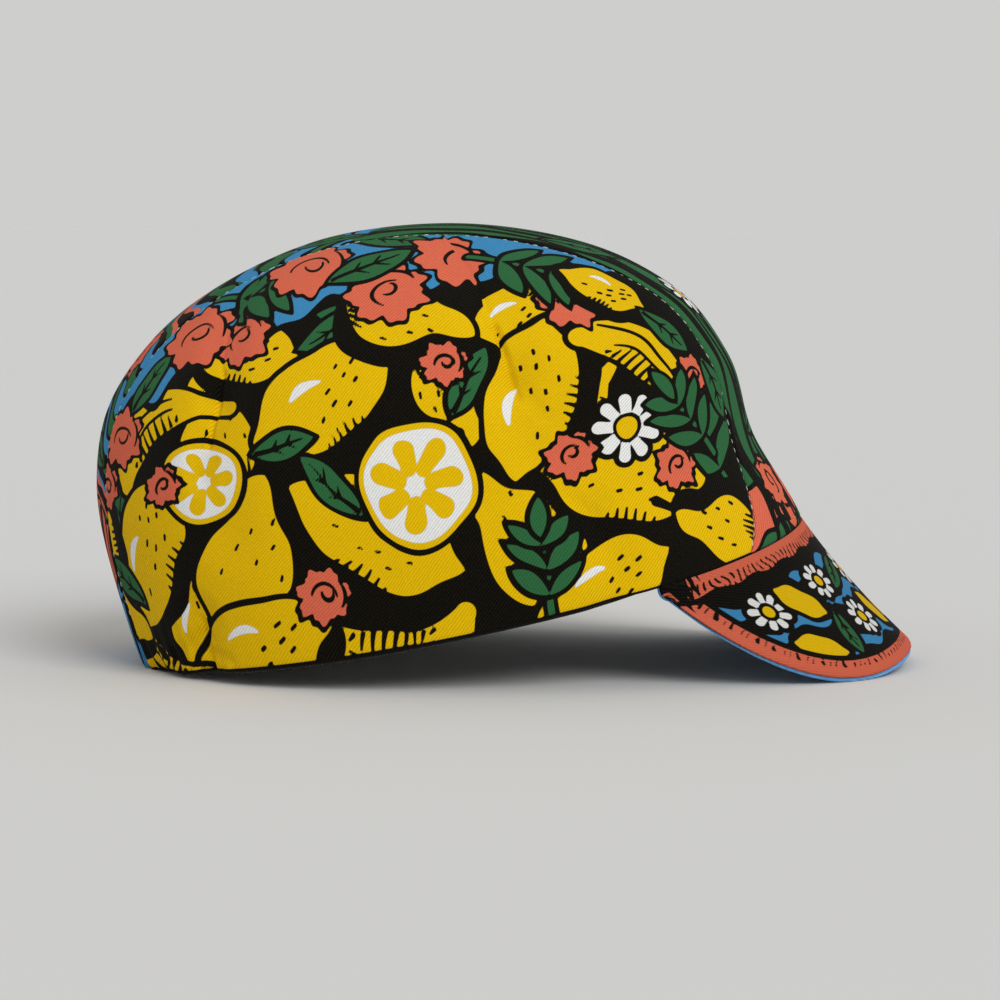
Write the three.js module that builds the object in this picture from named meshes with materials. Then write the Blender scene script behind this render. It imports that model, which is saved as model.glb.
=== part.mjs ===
// A three-panel cloth cycling cap: a centre panel that runs from the forehead over the top to the
// nape, a side panel with two darts on each side of it, a sweatband inside the hem, and a short
// turned-down peak made of a top and an underside cloth. Millimetres, +Z up, the front towards -Y.
// The cap is drawn as it sits on a head, with its hem level, and is then laid on a table, where it
// rests on the peak's rim and on the back of the hem. The origin is below its middle, on the table.
import * as THREE from "three";

// Driving dimensions
const frontReach = 116.5; // hem, from the axis through the crown's top to the forehead
const backReach = 85; // hem, from that axis to the nape
const halfWidth = 79; // hem, from that axis to the temple
const crownRise = 113.3; // crown's top above the hem
const squareness = 0.03; // how far the plan swells between front, side and back, as a share
const browArch = 4.4; // rise of the hem at the forehead
const browWidth = 45; // degrees of turn over which that rise fades
const earDip = 3; // drop of the hem at the temples
const panelCloth = 1.2; // wall of the crown's panels
const seamGap = 0.3; // clearance between pieces
const centreHalfFront = 46; // half the centre panel's width at the peak
const centreHalfTop = 28; // half its width on top
const centreHalfBack = 30; // half its width at the nape
const centreFlare = 6; // power of its widening from the top to the peak, most of it near the peak
const flareClearance = 0.4; // clearance added at the peak, where the seam runs aslant, as a share
const bandCloth = 1.5; // wall of the sweatband
const bandHeight = 26;
const bandGap = 0.8; // clearance between the sweatband and the panels, over their facets
const bandShow = 1; // how far the sweatband shows below the panels
const peakLength = 49.5;
const peakHollow = 1.2; // how far the peak curves in between its seam and its rim
const peakHalfWidth = 64.3;
const peakGap = 0.5; // clearance between the peak and the crown's hem
const peakSlope = 58.9; // degrees below the hem's plane
const peakCloth = 1.2; // wall of each of the peak's two cloths
const peakCorner = 3; // length of the peak at its two corners
const peakEdgeShow = 0.9; // how far the underside shows past the top cloth's rim
const hemPress = 1.1; // how far the back of the hem is flattened where the cap rests on it
const rimPress = 0.4; // how far the peak's rim is flattened where the cap rests on it

// Reach of the crown at levels from the hem (0 degrees) to the top (90 degrees), as shares of a
// quarter ellipse's reach at that level
const crownLevels = [
  { level: 0, front: 1, side: 1, back: 1 },
  { level: 15, front: 0.95, side: 1.055, back: 1.083 },
  { level: 30, front: 1.028, side: 1.11, back: 1.192 },
  { level: 45, front: 1.103, side: 1.18, back: 1.289 },
  { level: 60, front: 1.136, side: 1.27, back: 1.328 },
  { level: 75, front: 1.16, side: 1.48, back: 1.296 },
  { level: 90, front: 1.15, side: 1.6, back: 1.25 },
];

// Folds of a side panel. Fore runs from -1 at the nape to 1 at the forehead and up from 0 at the
// hem to 1 at the seam; width is a share of the panel and depth is in cloth walls.
const sideFolds = [
  { fold: "front dart", fore: 0.21, up: 1, toFore: 0.27, toUp: 0.49, width: 0.09, depth: 1.4 },
  { fold: "front hollow", fore: 0.28, up: 0.46, toFore: 0.35, toUp: 0.3, width: 0.15, depth: 1.3 },
  { fold: "rear dart", fore: -0.25, up: 1, toFore: -0.34, toUp: 0.6, width: 0.09, depth: 1.4 },
  { fold: "rear hollow", fore: -0.36, up: 0.55, toFore: -0.42, toUp: 0.32, width: 0.14, depth: 1.1 },
  { fold: "nape tuck", fore: -0.58, up: 0.13, toFore: -0.67, toUp: -0.03, width: 0.08, depth: 1.3 },
  { fold: "brow tuck", fore: 0.43, up: 0.17, toFore: 0.53, toUp: -0.02, width: 0.09, depth: 1.3 },
];

// The nape's gathers
const gatherDepth = 0.7; // height of a gather, as a share of the panel's cloth
const gatherCount = 9; // gathers over the half turn round the nape
const gatherTurn = 42; // degrees of turn to either side of the nape where they fade
const gatherLevel = 14; // degrees of level above the hem where they fade

// Facets
const sideColumns = 38;
const sideRows = 18;
const centreColumns = 56;
const centreRows = 8;
const bandColumns = 84;
const bandRows = 3;
const peakColumns = 30;
const peakRows = 6;

const degrees = THREE.MathUtils.degToRad;

// Value of a column of the crown's table at a level, on a smooth curve through its rows.
function reachShare(column, level) {
  const step = crownLevels[1].level;
  const last = crownLevels.length - 1;
  const place = THREE.MathUtils.clamp(level / step, 0, last - 1e-9);
  const row = Math.floor(place);
  const share = (k) => {
    if (k < 0) return 2 * share(0) - share(1);
    return crownLevels[k > last ? 2 * last - k : k][column];
  };
  const [a, b, c, d] = [share(row - 1), share(row), share(row + 1), share(row + 2)];
  const t = place - row;
  const slope = (c - a) * t;
  const bend = (2 * a - 5 * b + 4 * c - d) * t * t;
  const twist = (3 * b - a - 3 * c + d) * t * t * t;
  return b + 0.5 * (slope + bend + twist);
}

// Rise of the hem above its plane, by degrees of turn from the forehead.
function hemLift(turn) {
  return browArch * Math.exp(-((turn / browWidth) ** 2)) - earDip * Math.sin(degrees(turn)) ** 2;
}

// Point of the smooth crown for a unit direction from the middle of the hem's plane.
function crownPoint(direction) {
  const up = Math.max(direction.z, 0);
  const level = THREE.MathUtils.radToDeg(Math.asin(Math.min(up, 1)));
  const flat = Math.hypot(direction.x, direction.y) || 1e-9;
  const turn = THREE.MathUtils.radToDeg(Math.atan2(Math.abs(direction.x), -direction.y));
  const swell = 1 + squareness * ((2 * direction.x * direction.y) / (flat * flat)) ** 2;
  const reach =
    direction.y < 0
      ? frontReach * reachShare("front", level)
      : backReach * reachShare("back", level);
  return new THREE.Vector3(
    halfWidth * reachShare("side", level) * direction.x * swell,
    reach * direction.y * swell,
    crownRise * direction.z + hemLift(turn) * (1 - up) ** 2,
  );
}

// Direction at an angle along the cap's middle line, from the forehead (0) over the top (90) to
// the nape (180), and at an angle sideways from that line.
function directionAt(along, sideways) {
  const a = degrees(along);
  const s = degrees(sideways);
  return new THREE.Vector3(Math.sin(s), -Math.cos(s) * Math.cos(a), Math.cos(s) * Math.sin(a));
}

// Outward normal of the smooth crown, from two small steps that stay above the hem.
function crownNormal(direction) {
  const step = 1e-3;
  const round = new THREE.Vector3(-direction.y, direction.x, 0);
  if (round.length() < 1e-6) return new THREE.Vector3(0, 0, 1);
  round.normalize();
  const rise = new THREE.Vector3().crossVectors(direction, round);
  if (rise.z < 0) rise.negate();
  const here = crownPoint(direction);
  const stepped = (way) => crownPoint(direction.clone().addScaledVector(way, step).normalize()).sub(here);
  const normal = stepped(round).cross(stepped(rise)).normalize();
  return normal.dot(direction) < 0 ? normal.negate() : normal;
}

// Sideways angle of the seam between the centre and side panels, by the angle along the cap.
function seamAngle(along) {
  const share = Math.abs(along - 90) / 90;
  const widening =
    along < 90
      ? (centreHalfFront - centreHalfTop) * share ** centreFlare
      : (centreHalfBack - centreHalfTop) * share ** 2;
  const half = centreHalfTop + widening;
  const level = 90 * (1 - share);
  return THREE.MathUtils.radToDeg(Math.asin(half / (halfWidth * reachShare("side", level))));
}

// Distance from a point to a segment, in the panel's shares.
function distanceToFold(fore, up, row) {
  const [x, y] = [row.toFore - row.fore, row.toUp - row.up];
  const share = ((fore - row.fore) * x + (up - row.up) * y) / (x * x + y * y);
  const t = THREE.MathUtils.clamp(share, 0, 1);
  return Math.hypot(fore - row.fore - t * x, up - row.up - t * y);
}

// How far the folds of a side panel press its cloth in, at a direction.
function foldDepth(direction) {
  const along = THREE.MathUtils.radToDeg(Math.atan2(Math.max(direction.z, 0), -direction.y));
  const fromPole = THREE.MathUtils.radToDeg(Math.acos(Math.abs(direction.x)));
  const share = fromPole / (90 - seamAngle(along));
  if (share > 1) return 0;
  const fore = share * Math.cos(degrees(along));
  const up = share * Math.sin(degrees(along));
  let depth = 0;
  for (const row of sideFolds) {
    const near = Math.max(0, 1 - distanceToFold(fore, up, row) / row.width);
    depth += row.depth * panelCloth * near * near * (3 - 2 * near);
  }
  return depth;
}

// Height of the gathers round the nape, at a direction.
function gatherHeight(direction) {
  const fromNape = THREE.MathUtils.radToDeg(Math.atan2(direction.x, direction.y));
  const level = THREE.MathUtils.radToDeg(Math.asin(THREE.MathUtils.clamp(direction.z, 0, 1)));
  const fade = Math.exp(-((fromNape / gatherTurn) ** 4) - (level / gatherLevel) ** 2);
  return gatherDepth * panelCloth * fade * Math.cos(degrees(2 * gatherCount * fromNape));
}

// How far the cloth stands out from the smooth crown, at a direction.
function clothHeight(direction) {
  return gatherHeight(direction) - foldDepth(direction);
}

// Closed sheet from a grid of pairs of points, one on each face. wraps joins the last column to
// the first, and mirrored is for a sheet whose grid runs the other way round.
function sheetGeometry(columns, rows, pairAt, wraps = false, mirrored = false) {
  const across = wraps ? columns : columns + 1;
  const positions = [];
  for (const face of [0, 1])
    for (let j = 0; j <= rows; j++)
      for (let i = 0; i < across; i++) positions.push(...pairAt(i / columns, j / rows)[face].toArray());
  const at = (face, i, j) => face * across * (rows + 1) + j * across + (i % across);
  const index = [];
  const quad = (a, b, c, d) => index.push(...(mirrored ? [a, c, b, a, d, c] : [a, b, c, a, c, d]));
  for (let j = 0; j < rows; j++)
    for (let i = 0; i < columns; i++) {
      quad(at(0, i, j), at(0, i + 1, j), at(0, i + 1, j + 1), at(0, i, j + 1));
      quad(at(1, i, j), at(1, i, j + 1), at(1, i + 1, j + 1), at(1, i + 1, j));
    }
  for (let i = 0; i < columns; i++) {
    quad(at(0, i, 0), at(1, i, 0), at(1, i + 1, 0), at(0, i + 1, 0));
    quad(at(0, i, rows), at(0, i + 1, rows), at(1, i + 1, rows), at(1, i, rows));
  }
  for (let j = 0; j < rows && !wraps; j++) {
    quad(at(0, 0, j), at(0, 0, j + 1), at(1, 0, j + 1), at(1, 0, j));
    quad(at(0, columns, j), at(1, columns, j), at(1, columns, j + 1), at(0, columns, j + 1));
  }
  const geometry = new THREE.BufferGeometry();
  geometry.setAttribute("position", new THREE.Float32BufferAttribute(positions, 3));
  geometry.setIndex(index);
  geometry.computeVertexNormals();
  return geometry;
}

// The two faces of a cloth whose outer face stands off the smooth crown by a height. The hem is
// cut level.
function clothPair(direction, height, wall) {
  const normal = crownNormal(direction);
  const outer = crownPoint(direction).addScaledVector(normal, height);
  const inner = outer.clone().addScaledVector(normal, -wall);
  if (direction.z < 1e-9) inner.z = outer.z;
  return [outer, inner];
}

// Sideways angle that half the clearance takes up at the seam, by the angle along the cap.
function seamClearance(along) {
  const share = Math.max(0, 90 - along) / 90;
  const half = (seamGap / 2) * (1 + flareClearance * share ** centreFlare);
  return THREE.MathUtils.radToDeg(half / halfWidth);
}

// Centre panel: a strip between the two seams, from the forehead's hem to the nape's.
function centrePanel() {
  return sheetGeometry(
    centreColumns,
    centreRows,
    (u, v) => {
      const along = 180 * u;
      const direction = directionAt(along, (2 * v - 1) * (seamAngle(along) - seamClearance(along)));
      return clothPair(direction, gatherHeight(direction), panelCloth);
    },
    false,
    true,
  );
}

// Side panel, D-shaped: its straight edge is the hem and its round edge the seam. A square grid is
// rounded to the D, whose angles count from the middle of the straight edge.
function sidePanel(side) {
  return sheetGeometry(
    sideColumns,
    sideRows,
    (u, v) => {
      const across = 2 * u - 1;
      const fore = across * Math.sqrt(1 - (v * v) / 2);
      const up = v * Math.sqrt(1 - (across * across) / 2);
      const along = THREE.MathUtils.radToDeg(Math.atan2(up, fore));
      const fromPole = Math.hypot(fore, up) * (90 - seamAngle(along) - seamClearance(along));
      const direction = directionAt(along, side * (90 - fromPole));
      return clothPair(direction, clothHeight(direction), panelCloth);
    },
    false,
    side > 0,
  );
}

// Direction on the hem, by degrees of turn from the forehead.
function hemDirection(turn) {
  return new THREE.Vector3(Math.sin(degrees(turn)), -Math.cos(degrees(turn)), 0);
}

const peakTurn = THREE.MathUtils.radToDeg(Math.asin(peakHalfWidth / halfWidth));

// Sweatband: a ring inside the panels that shows below them, except where the peak is sewn in.
function sweatband() {
  return sheetGeometry(
    bandColumns,
    bandRows,
    (u, v) => {
      const turn = 360 * u - 180;
      const clearOfPeak = THREE.MathUtils.smoothstep(Math.abs(turn), peakTurn + 1, peakTurn + 8);
      const direction = hemDirection(turn);
      direction.z = Math.tan(Math.asin((v * bandHeight) / crownRise));
      direction.normalize();
      const inset = clothHeight(direction) - panelCloth - bandGap;
      const pair = clothPair(direction, inset, bandCloth);
      for (const point of pair) point.z -= bandShow * clearOfPeak * (1 - v);
      return pair;
    },
    true,
  );
}

// Length of the peak from its seam to its rim, by the share of its half width.
function peakReach(share) {
  return Math.max(peakCorner, peakLength * (1 - Math.abs(share) ** 6) ** 0.75);
}

const peakWay = new THREE.Vector3(0, -Math.cos(degrees(peakSlope)), -Math.sin(degrees(peakSlope)));

// Point of the peak: straight lines down from the hem, side by side. depth counts from the top
// cloth's face and extra adds length at the rim.
function peakPoint(share, down, depth, extra) {
  const turn = share * peakTurn;
  const step = 0.5;
  const sewn = crownPoint(hemDirection(turn));
  const next = crownPoint(hemDirection(turn + step));
  const last = crownPoint(hemDirection(turn - step));
  const normal = next.sub(last).cross(peakWay).normalize();
  if (normal.y > 0) normal.negate();
  sewn.z -= peakGap;
  return sewn
    .addScaledVector(peakWay, down * (peakReach(share) + extra))
    .addScaledVector(normal, -depth - peakHollow * Math.sin(down * Math.PI));
}

// One cloth of the peak, from one depth to another.
function peakSheet(depth, extra) {
  return sheetGeometry(
    peakColumns,
    peakRows,
    (u, v) => {
      const share = Math.sin((u - 0.5) * Math.PI);
      return [peakPoint(share, v, depth, extra), peakPoint(share, v, depth + peakCloth, extra)];
    },
    false,
    true,
  );
}

// Lowest height of a geometry when the cap is tipped back by some degrees.
function lowest(geometry, tip) {
  const turned = geometry.clone().rotateX(degrees(-tip));
  turned.computeBoundingBox();
  return turned.boundingBox.min.z;
}

// Angle at which the peak's rim and the back of the hem press on one table, found by halving.
function restingTip(rim, hem) {
  let [low, high] = [0, 40];
  for (let k = 0; k < 30; k++) {
    const middle = (low + high) / 2;
    if (lowest(hem, middle) + hemPress > lowest(rim, middle) + rimPress) low = middle;
    else high = middle;
  }
  return (low + high) / 2;
}

// Moves each vertex that would be below the table up onto it.
function flatten(geometry, tip, table) {
  const up = new THREE.Vector3(0, 0, 1).applyAxisAngle(new THREE.Vector3(1, 0, 0), degrees(tip));
  const position = geometry.getAttribute("position");
  const point = new THREE.Vector3();
  for (let i = 0; i < position.count; i++) {
    point.fromBufferAttribute(position, i);
    point.addScaledVector(up, Math.max(0, table - point.dot(up)));
    position.setXYZ(i, ...point.toArray());
  }
  geometry.computeVertexNormals();
}

const cloth = (colour) => new THREE.MeshStandardMaterial({ color: colour, roughness: 0.9, metalness: 0 });
const greenPrint = cloth(0x2d6b3c);
const yellowPrint = cloth(0xe6bc06);
const coralPrint = cloth(0xe2604e);
const bluePrint = cloth(0x4a90c8);
const blackCotton = cloth(0x161514);

const pieces = [
  ["centre_panel", centrePanel(), greenPrint],
  ["side_panel_right", sidePanel(-1), yellowPrint],
  ["side_panel_left", sidePanel(1), yellowPrint],
  ["sweatband", sweatband(), blackCotton],
  ["peak_top", peakSheet(0, 0), coralPrint],
  ["peak_underside", peakSheet(peakCloth + seamGap, peakEdgeShow), bluePrint],
];

const geometryOf = (name) => pieces.find((piece) => piece[0] === name)[1];
const tip = restingTip(geometryOf("peak_underside"), geometryOf("sweatband"));
const table = lowest(geometryOf("sweatband"), tip) + hemPress;

const worn = new THREE.Group();
for (const [name, geometry, material] of pieces) {
  flatten(geometry, tip, table);
  const mesh = new THREE.Mesh(geometry, material);
  mesh.name = name;
  worn.add(mesh);
}
worn.rotation.x = degrees(-tip);
worn.position.z = -table;

const cap = new THREE.Group();
cap.add(worn);
const box = new THREE.Box3().setFromObject(cap, true);
worn.position.y = -(box.min.y + box.max.y) / 2;

export default cap;
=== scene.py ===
# %% [markdown]
# # A printed cycling cap
# A cycling cap is three pieces of thin cotton twill sewn into a crown, a sweatband inside its hem
# and a short peak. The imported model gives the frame: where each piece is and how large. This lesson
# replaces each plain solid with a fine sheet of the same form, and prints and weaves its cloth.
# Everything is worked out in millimetres and turned to metres only when a mesh is made.

import math

import bpy
import numpy as np
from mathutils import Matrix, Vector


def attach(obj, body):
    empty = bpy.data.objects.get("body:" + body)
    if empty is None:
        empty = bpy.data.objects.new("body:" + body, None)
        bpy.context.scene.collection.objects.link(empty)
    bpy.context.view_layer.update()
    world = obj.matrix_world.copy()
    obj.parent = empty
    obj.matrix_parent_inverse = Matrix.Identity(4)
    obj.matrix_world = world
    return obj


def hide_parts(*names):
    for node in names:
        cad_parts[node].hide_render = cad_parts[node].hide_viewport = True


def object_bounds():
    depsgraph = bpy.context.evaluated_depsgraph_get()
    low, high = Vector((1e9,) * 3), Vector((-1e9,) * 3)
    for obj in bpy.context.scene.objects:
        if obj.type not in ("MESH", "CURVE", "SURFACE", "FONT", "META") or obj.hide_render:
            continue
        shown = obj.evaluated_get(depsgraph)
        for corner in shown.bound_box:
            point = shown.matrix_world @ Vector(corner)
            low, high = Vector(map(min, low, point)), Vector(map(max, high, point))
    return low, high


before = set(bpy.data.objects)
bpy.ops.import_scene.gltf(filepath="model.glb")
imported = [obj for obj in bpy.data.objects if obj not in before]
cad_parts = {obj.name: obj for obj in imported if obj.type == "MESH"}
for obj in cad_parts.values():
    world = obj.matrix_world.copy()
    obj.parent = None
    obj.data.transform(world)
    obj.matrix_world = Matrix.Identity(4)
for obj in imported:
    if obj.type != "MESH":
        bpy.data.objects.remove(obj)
cad_low, cad_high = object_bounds()
MM = 0.001
print("the packed cap spans, in mm:", [round((b - a) / MM, 1) for a, b in zip(cad_low, cad_high)])

# %% [markdown]
# ## Camera, floor and light
# The picture is taken from the wearer's right, a little above the table, with a long lens. The
# camera aims at the middle of the cap and is rolled by a fraction of a degree, as the cap leans a
# little differently on a table than in the air. The floor is one wide pale disc. The world and a
# broad sun are balanced so that the floor comes out as bright as the world behind it, and no
# horizon shows.

# %% Camera
picture_pixels = 1000
pixel_size = 0.2998  # mm of the cap that one pixel shows
camera_distance = 1000.0
camera_azimuth = math.radians(-90)
camera_rise = math.radians(4.82)
camera_roll = math.radians(0.38)
camera_aim = np.array([0.0, 1.8, 47.6])
sensor_width = 36.0  # mm


def put_in_scene(name, data):
    """Puts a camera, a lamp or a mesh into the scene as an object at the origin."""
    holder = bpy.data.objects.new(name, data)
    bpy.context.scene.collection.objects.link(holder)
    return holder


level = math.cos(camera_rise)
backwards = np.array(
    [math.sin(camera_azimuth) * level, -math.cos(camera_azimuth) * level, math.sin(camera_rise)]
)
camera_data = bpy.data.cameras.new("camera")
camera_data.sensor_width = sensor_width
camera_data.lens = sensor_width * camera_distance / (pixel_size * picture_pixels)
camera_data.clip_end = 200.0
camera = put_in_scene("camera", camera_data)
camera.location = (camera_aim + camera_distance * backwards) * MM
camera.rotation_mode = "XYZ"
camera.rotation_euler = (math.pi / 2 - camera_rise, 0.0, camera_azimuth)
camera.rotation_euler.rotate_axis("Z", camera_roll)
bpy.context.scene.camera = camera
print("lens", round(camera_data.lens, 1), "mm, camera", round(camera.location.z, 3), "m above the floor")


# %% Colours, nodes and materials: three helpers
def linear(hex_colour):
    """An sRGB hex colour as linear red, green, blue and alpha."""
    channels = [int(hex_colour[k : k + 2], 16) / 255 for k in (1, 3, 5)]
    bent = [c / 12.92 if c <= 0.04045 else ((c + 0.055) / 1.055) ** 2.4 for c in channels]
    return (*bent, 1.0)


def add(tree, kind, **settings):
    """Adds one shader node. A name in small letters is one of its properties. A name with a capital
    is an input, with In_2 for the one of that number, and takes a value or another node's output."""
    node = tree.nodes.new("ShaderNode" + kind)
    for name, value in settings.items():
        if name[0].islower():
            setattr(node, name, value)
            continue
        socket = node.inputs[int(name[3:]) if name.startswith("In_") else name.replace("_", " ")]
        if isinstance(value, bpy.types.NodeSocket):
            tree.links.new(value, socket)
        else:
            socket.default_value = value
    return node


def new_material(name, **settings):
    """A material with a Principled shader on its output, whose own sockets take the settings."""
    material = bpy.data.materials.new(name)
    material.use_nodes = True
    tree = material.node_tree
    tree.nodes.clear()
    shader = add(tree, "BsdfPrincipled", **settings)
    add(tree, "OutputMaterial", Surface=shader.outputs["BSDF"])
    return material, tree, shader


# %% Floor
floor_colour = "#d3d3d2"
floor_radius = 40.0  # m
floor_corners = 128

turn = np.linspace(0, 2 * np.pi, floor_corners + 1)[:-1]
floor_ring = np.stack([np.cos(turn), np.sin(turn), 0 * turn], -1) * floor_radius
floor_mesh = bpy.data.meshes.new("floor")
floor_mesh.from_pydata(floor_ring.tolist(), [], [list(range(floor_corners))])
floor = put_in_scene("floor", floor_mesh)
floor_paint, *_ = new_material(
    "matt_floor_paint", Base_Color=linear(floor_colour), Roughness=0.9, Specular_IOR_Level=0.1
)
floor_mesh.materials.append(floor_paint)
print("floor of", floor_corners, "corners,", 2 * floor_radius, "m across")

# %% World and sun
world_level = 0.62
sun_level = 1.6
sun_softness = 35  # degrees across
sun_azimuth = -58
sun_rise = 40  # degrees above the horizon

world = bpy.data.worlds.new("soft_studio")
world.use_nodes = True
world.node_tree.nodes["Background"].inputs["Color"].default_value = (1.0, 0.995, 0.985, 1.0)
world.node_tree.nodes["Background"].inputs["Strength"].default_value = world_level
bpy.context.scene.world = world
bpy.context.scene.view_settings.view_transform = "Standard"

sun = bpy.data.lights.new("key_light", "SUN")
sun.energy = sun_level
sun.angle = math.radians(sun_softness)
key_light = put_in_scene("key_light", sun)
key_light.rotation_euler = (math.radians(90 - sun_rise), 0.0, math.radians(sun_azimuth))
print("world", world_level, "key light", sun_level)

# %% [markdown]
# ## The form of the crown
# The crown is a rounded shell over a level hem. Each point of it belongs to one direction from the
# middle of the hem's plane. A table gives, for levels from the hem to the top, how far the crown
# reaches to the front, side and back compared with a plain quarter ellipse. A curve through the
# table's rows keeps the cloth smooth. Every later step asks this one function where the cloth is.

# %% The crown as a function of direction
front_reach = 116.5
back_reach = 85.0
half_width = 79.0
crown_rise = 113.3
squareness = 0.03
brow_arch = 4.4
brow_width = 45.0
ear_dip = 3.0
panel_cloth = 1.2
seam_gap = 0.3

level_step = 15.0
crown_shares = {
    "front": [1, 0.95, 1.028, 1.103, 1.136, 1.16, 1.15],
    "side": [1, 1.055, 1.11, 1.18, 1.27, 1.48, 1.6],
    "back": [1, 1.083, 1.192, 1.289, 1.328, 1.296, 1.25],
}


def reach_share(column, level):
    """Share of the quarter ellipse's reach at a level in degrees: a Catmull-Rom curve through the
    column's rows, mirrored at the top and carried on straight below the hem."""
    row = np.array(crown_shares[column], float)
    row = np.concatenate([[2 * row[0] - row[1]], row, [row[-2]]])
    place = np.clip(level / level_step, 0, len(row) - 3 - 1e-9)
    k = np.floor(place).astype(int)
    t = place - k
    a, b, c, d = row[k], row[k + 1], row[k + 2], row[k + 3]
    return b + 0.5 * ((c - a) * t + (2 * a - 5 * b + 4 * c - d) * t**2 + (3 * b - a - 3 * c + d) * t**3)


def hem_lift(turn):
    """Rise of the hem by degrees of turn from the forehead: an arch at the brow, less a dip at the
    temples."""
    return brow_arch * np.exp(-((turn / brow_width) ** 2)) - ear_dip * np.sin(np.radians(turn)) ** 2


def crown_point(direction):
    """Points of the smooth crown for unit directions: the ellipse's three reaches times the table's
    shares, swollen a little between front, side and back, plus the hem's lift fading upwards."""
    x, y, z = direction[..., 0], direction[..., 1], direction[..., 2]
    up = np.clip(z, 0, 1)
    level = np.degrees(np.arcsin(up))
    flat = np.maximum(np.hypot(x, y), 1e-9)
    turn = np.degrees(np.arctan2(np.abs(x), -y))
    swell = 1 + squareness * (2 * x * y / flat**2) ** 2
    front = front_reach * reach_share("front", level)
    back = back_reach * reach_share("back", level)
    reach = np.where(y < 0, front, back)
    side = half_width * reach_share("side", level)
    rise = crown_rise * z + hem_lift(turn) * (1 - up) ** 2
    return np.stack([side * x * swell, reach * y * swell, rise], -1)


def unit(vectors):
    """The same vectors at length one."""
    return vectors / np.maximum(np.linalg.norm(vectors, axis=-1, keepdims=True), 1e-12)


def crown_normal(direction):
    """Outward normals of the smooth crown: the cross product of two small steps, one round the head
    and one upwards."""
    step = 1e-3
    turning = np.stack([-direction[..., 1], direction[..., 0], 0 * direction[..., 0]], -1)
    turning[..., 1] += 1e-9
    turning = unit(turning)
    rising = np.cross(direction, turning)
    rising *= np.where(rising[..., 2:] < 0, -1, 1)
    here = crown_point(direction)
    normal = np.cross(
        crown_point(unit(direction + step * turning)) - here,
        crown_point(unit(direction + step * rising)) - here,
    )
    normal = unit(normal)
    return normal * np.where((normal * direction).sum(-1, keepdims=True) < 0, -1, 1)


def direction_at(along, sideways):
    """Unit directions at degrees along the middle line, from forehead over top to nape, and degrees
    sideways from it."""
    a, s = np.radians(along), np.radians(sideways)
    return np.stack([np.sin(s), -np.cos(s) * np.cos(a), np.cos(s) * np.sin(a)], -1)


centre_half_front = 46.0
centre_half_top = 28.0
centre_half_back = 30.0
centre_flare = 6
flare_clearance = 0.4


def centre_half(along):
    """Half the centre panel's width. It widens with the square of the way to the nape, and with the
    sixth power of the way to the peak, so most of that flare is near the hem."""
    share = np.abs(along - 90) / 90
    to_front = (centre_half_front - centre_half_top) * share**centre_flare
    to_back = (centre_half_back - centre_half_top) * share**2
    return centre_half_top + np.where(along < 90, to_front, to_back)


def seam_angle(along):
    """Sideways angle of the seam: the centre panel's half width, over the crown's half width there,
    as an angle."""
    level = 90 - np.abs(along - 90)
    return np.degrees(np.arcsin(centre_half(along) / (half_width * reach_share("side", level))))


def seam_clearance(along):
    """Sideways angle that half the gap at the seam takes up: more towards the peak, where the seam
    runs aslant."""
    share = np.maximum(0, 90 - along) / 90
    return np.degrees(seam_gap / 2 * (1 + flare_clearance * share**centre_flare) / half_width)


print("crown top at", crown_point(np.array([[0.0, 0.0, 1.0]]))[0].round(1))

# %% [markdown]
# ## Darts, tucks and gathers
# A flat side panel is made round by two darts: a wedge of cloth is folded away along a line from the
# seam, and the cloth pinches into small creases where the line ends. The hem has a tuck behind the
# ear and another beside the peak, and elastic gathers it round the nape. Each fold is a row of a
# table, in shares of the panel: fore runs from the nape (-1) to the forehead (1) and up from the
# hem (0) to the seam (1). Its cloth is pressed in along the line and comes back over the width.

# %% Folds of a side panel
# fore, up, to fore, to up, width in shares, depth in walls of cloth
side_folds = {
    "front dart": (0.21, 1.0, 0.27, 0.49, 0.09, 1.4),
    "front hollow": (0.28, 0.46, 0.35, 0.30, 0.15, 1.3),
    "rear dart": (-0.25, 1.0, -0.34, 0.60, 0.09, 1.4),
    "rear hollow": (-0.36, 0.55, -0.42, 0.32, 0.14, 1.1),
    "nape tuck": (-0.58, 0.13, -0.67, -0.03, 0.08, 1.3),
    "brow tuck": (0.43, 0.17, 0.53, -0.02, 0.09, 1.3),
}
# Small creases that only the looks have: they fan out below the darts and run off the tucks.
small_creases = {
    "front seam": (0.21, 1.0, 0.262, 0.55, 0.012, 0.3),
    "front pinch": (0.252, 0.62, 0.282, 0.45, 0.012, 1.0),
    "front valley": (0.262, 0.50, 0.285, 0.33, 0.07, 0.85),
    "front pinch, forward": (0.275, 0.49, 0.33, 0.40, 0.03, 0.35),
    "rear seam": (-0.25, 1.0, -0.33, 0.66, 0.012, 0.3),
    "rear pinch": (-0.325, 0.65, -0.402, 0.49, 0.012, 1.0),
    "rear valley": (-0.36, 0.57, -0.445, 0.43, 0.06, 0.85),
    "nape crease": (-0.60, 0.09, -0.76, 0.05, 0.03, 0.6),
    "nape crease, low": (-0.63, 0.05, -0.55, 0.03, 0.025, 0.5),
    "nape pinch": (-0.60, 0.12, -0.635, 0.0, 0.016, 0.7),
    "brow crease": (0.43, 0.18, 0.36, 0.24, 0.03, 0.35),
}
gather_depth = 0.7
gather_count = 9
gather_turn = 42.0
gather_level = 14.0
pleat_count = 104
pleat_height = 0.3  # mm
pleat_level = 7.5
pleat_turn = 48.0
ripple_height = 0.16  # mm
seam_hold = 0.1  # share of a side panel, next to the seam, where the folds fade


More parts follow.
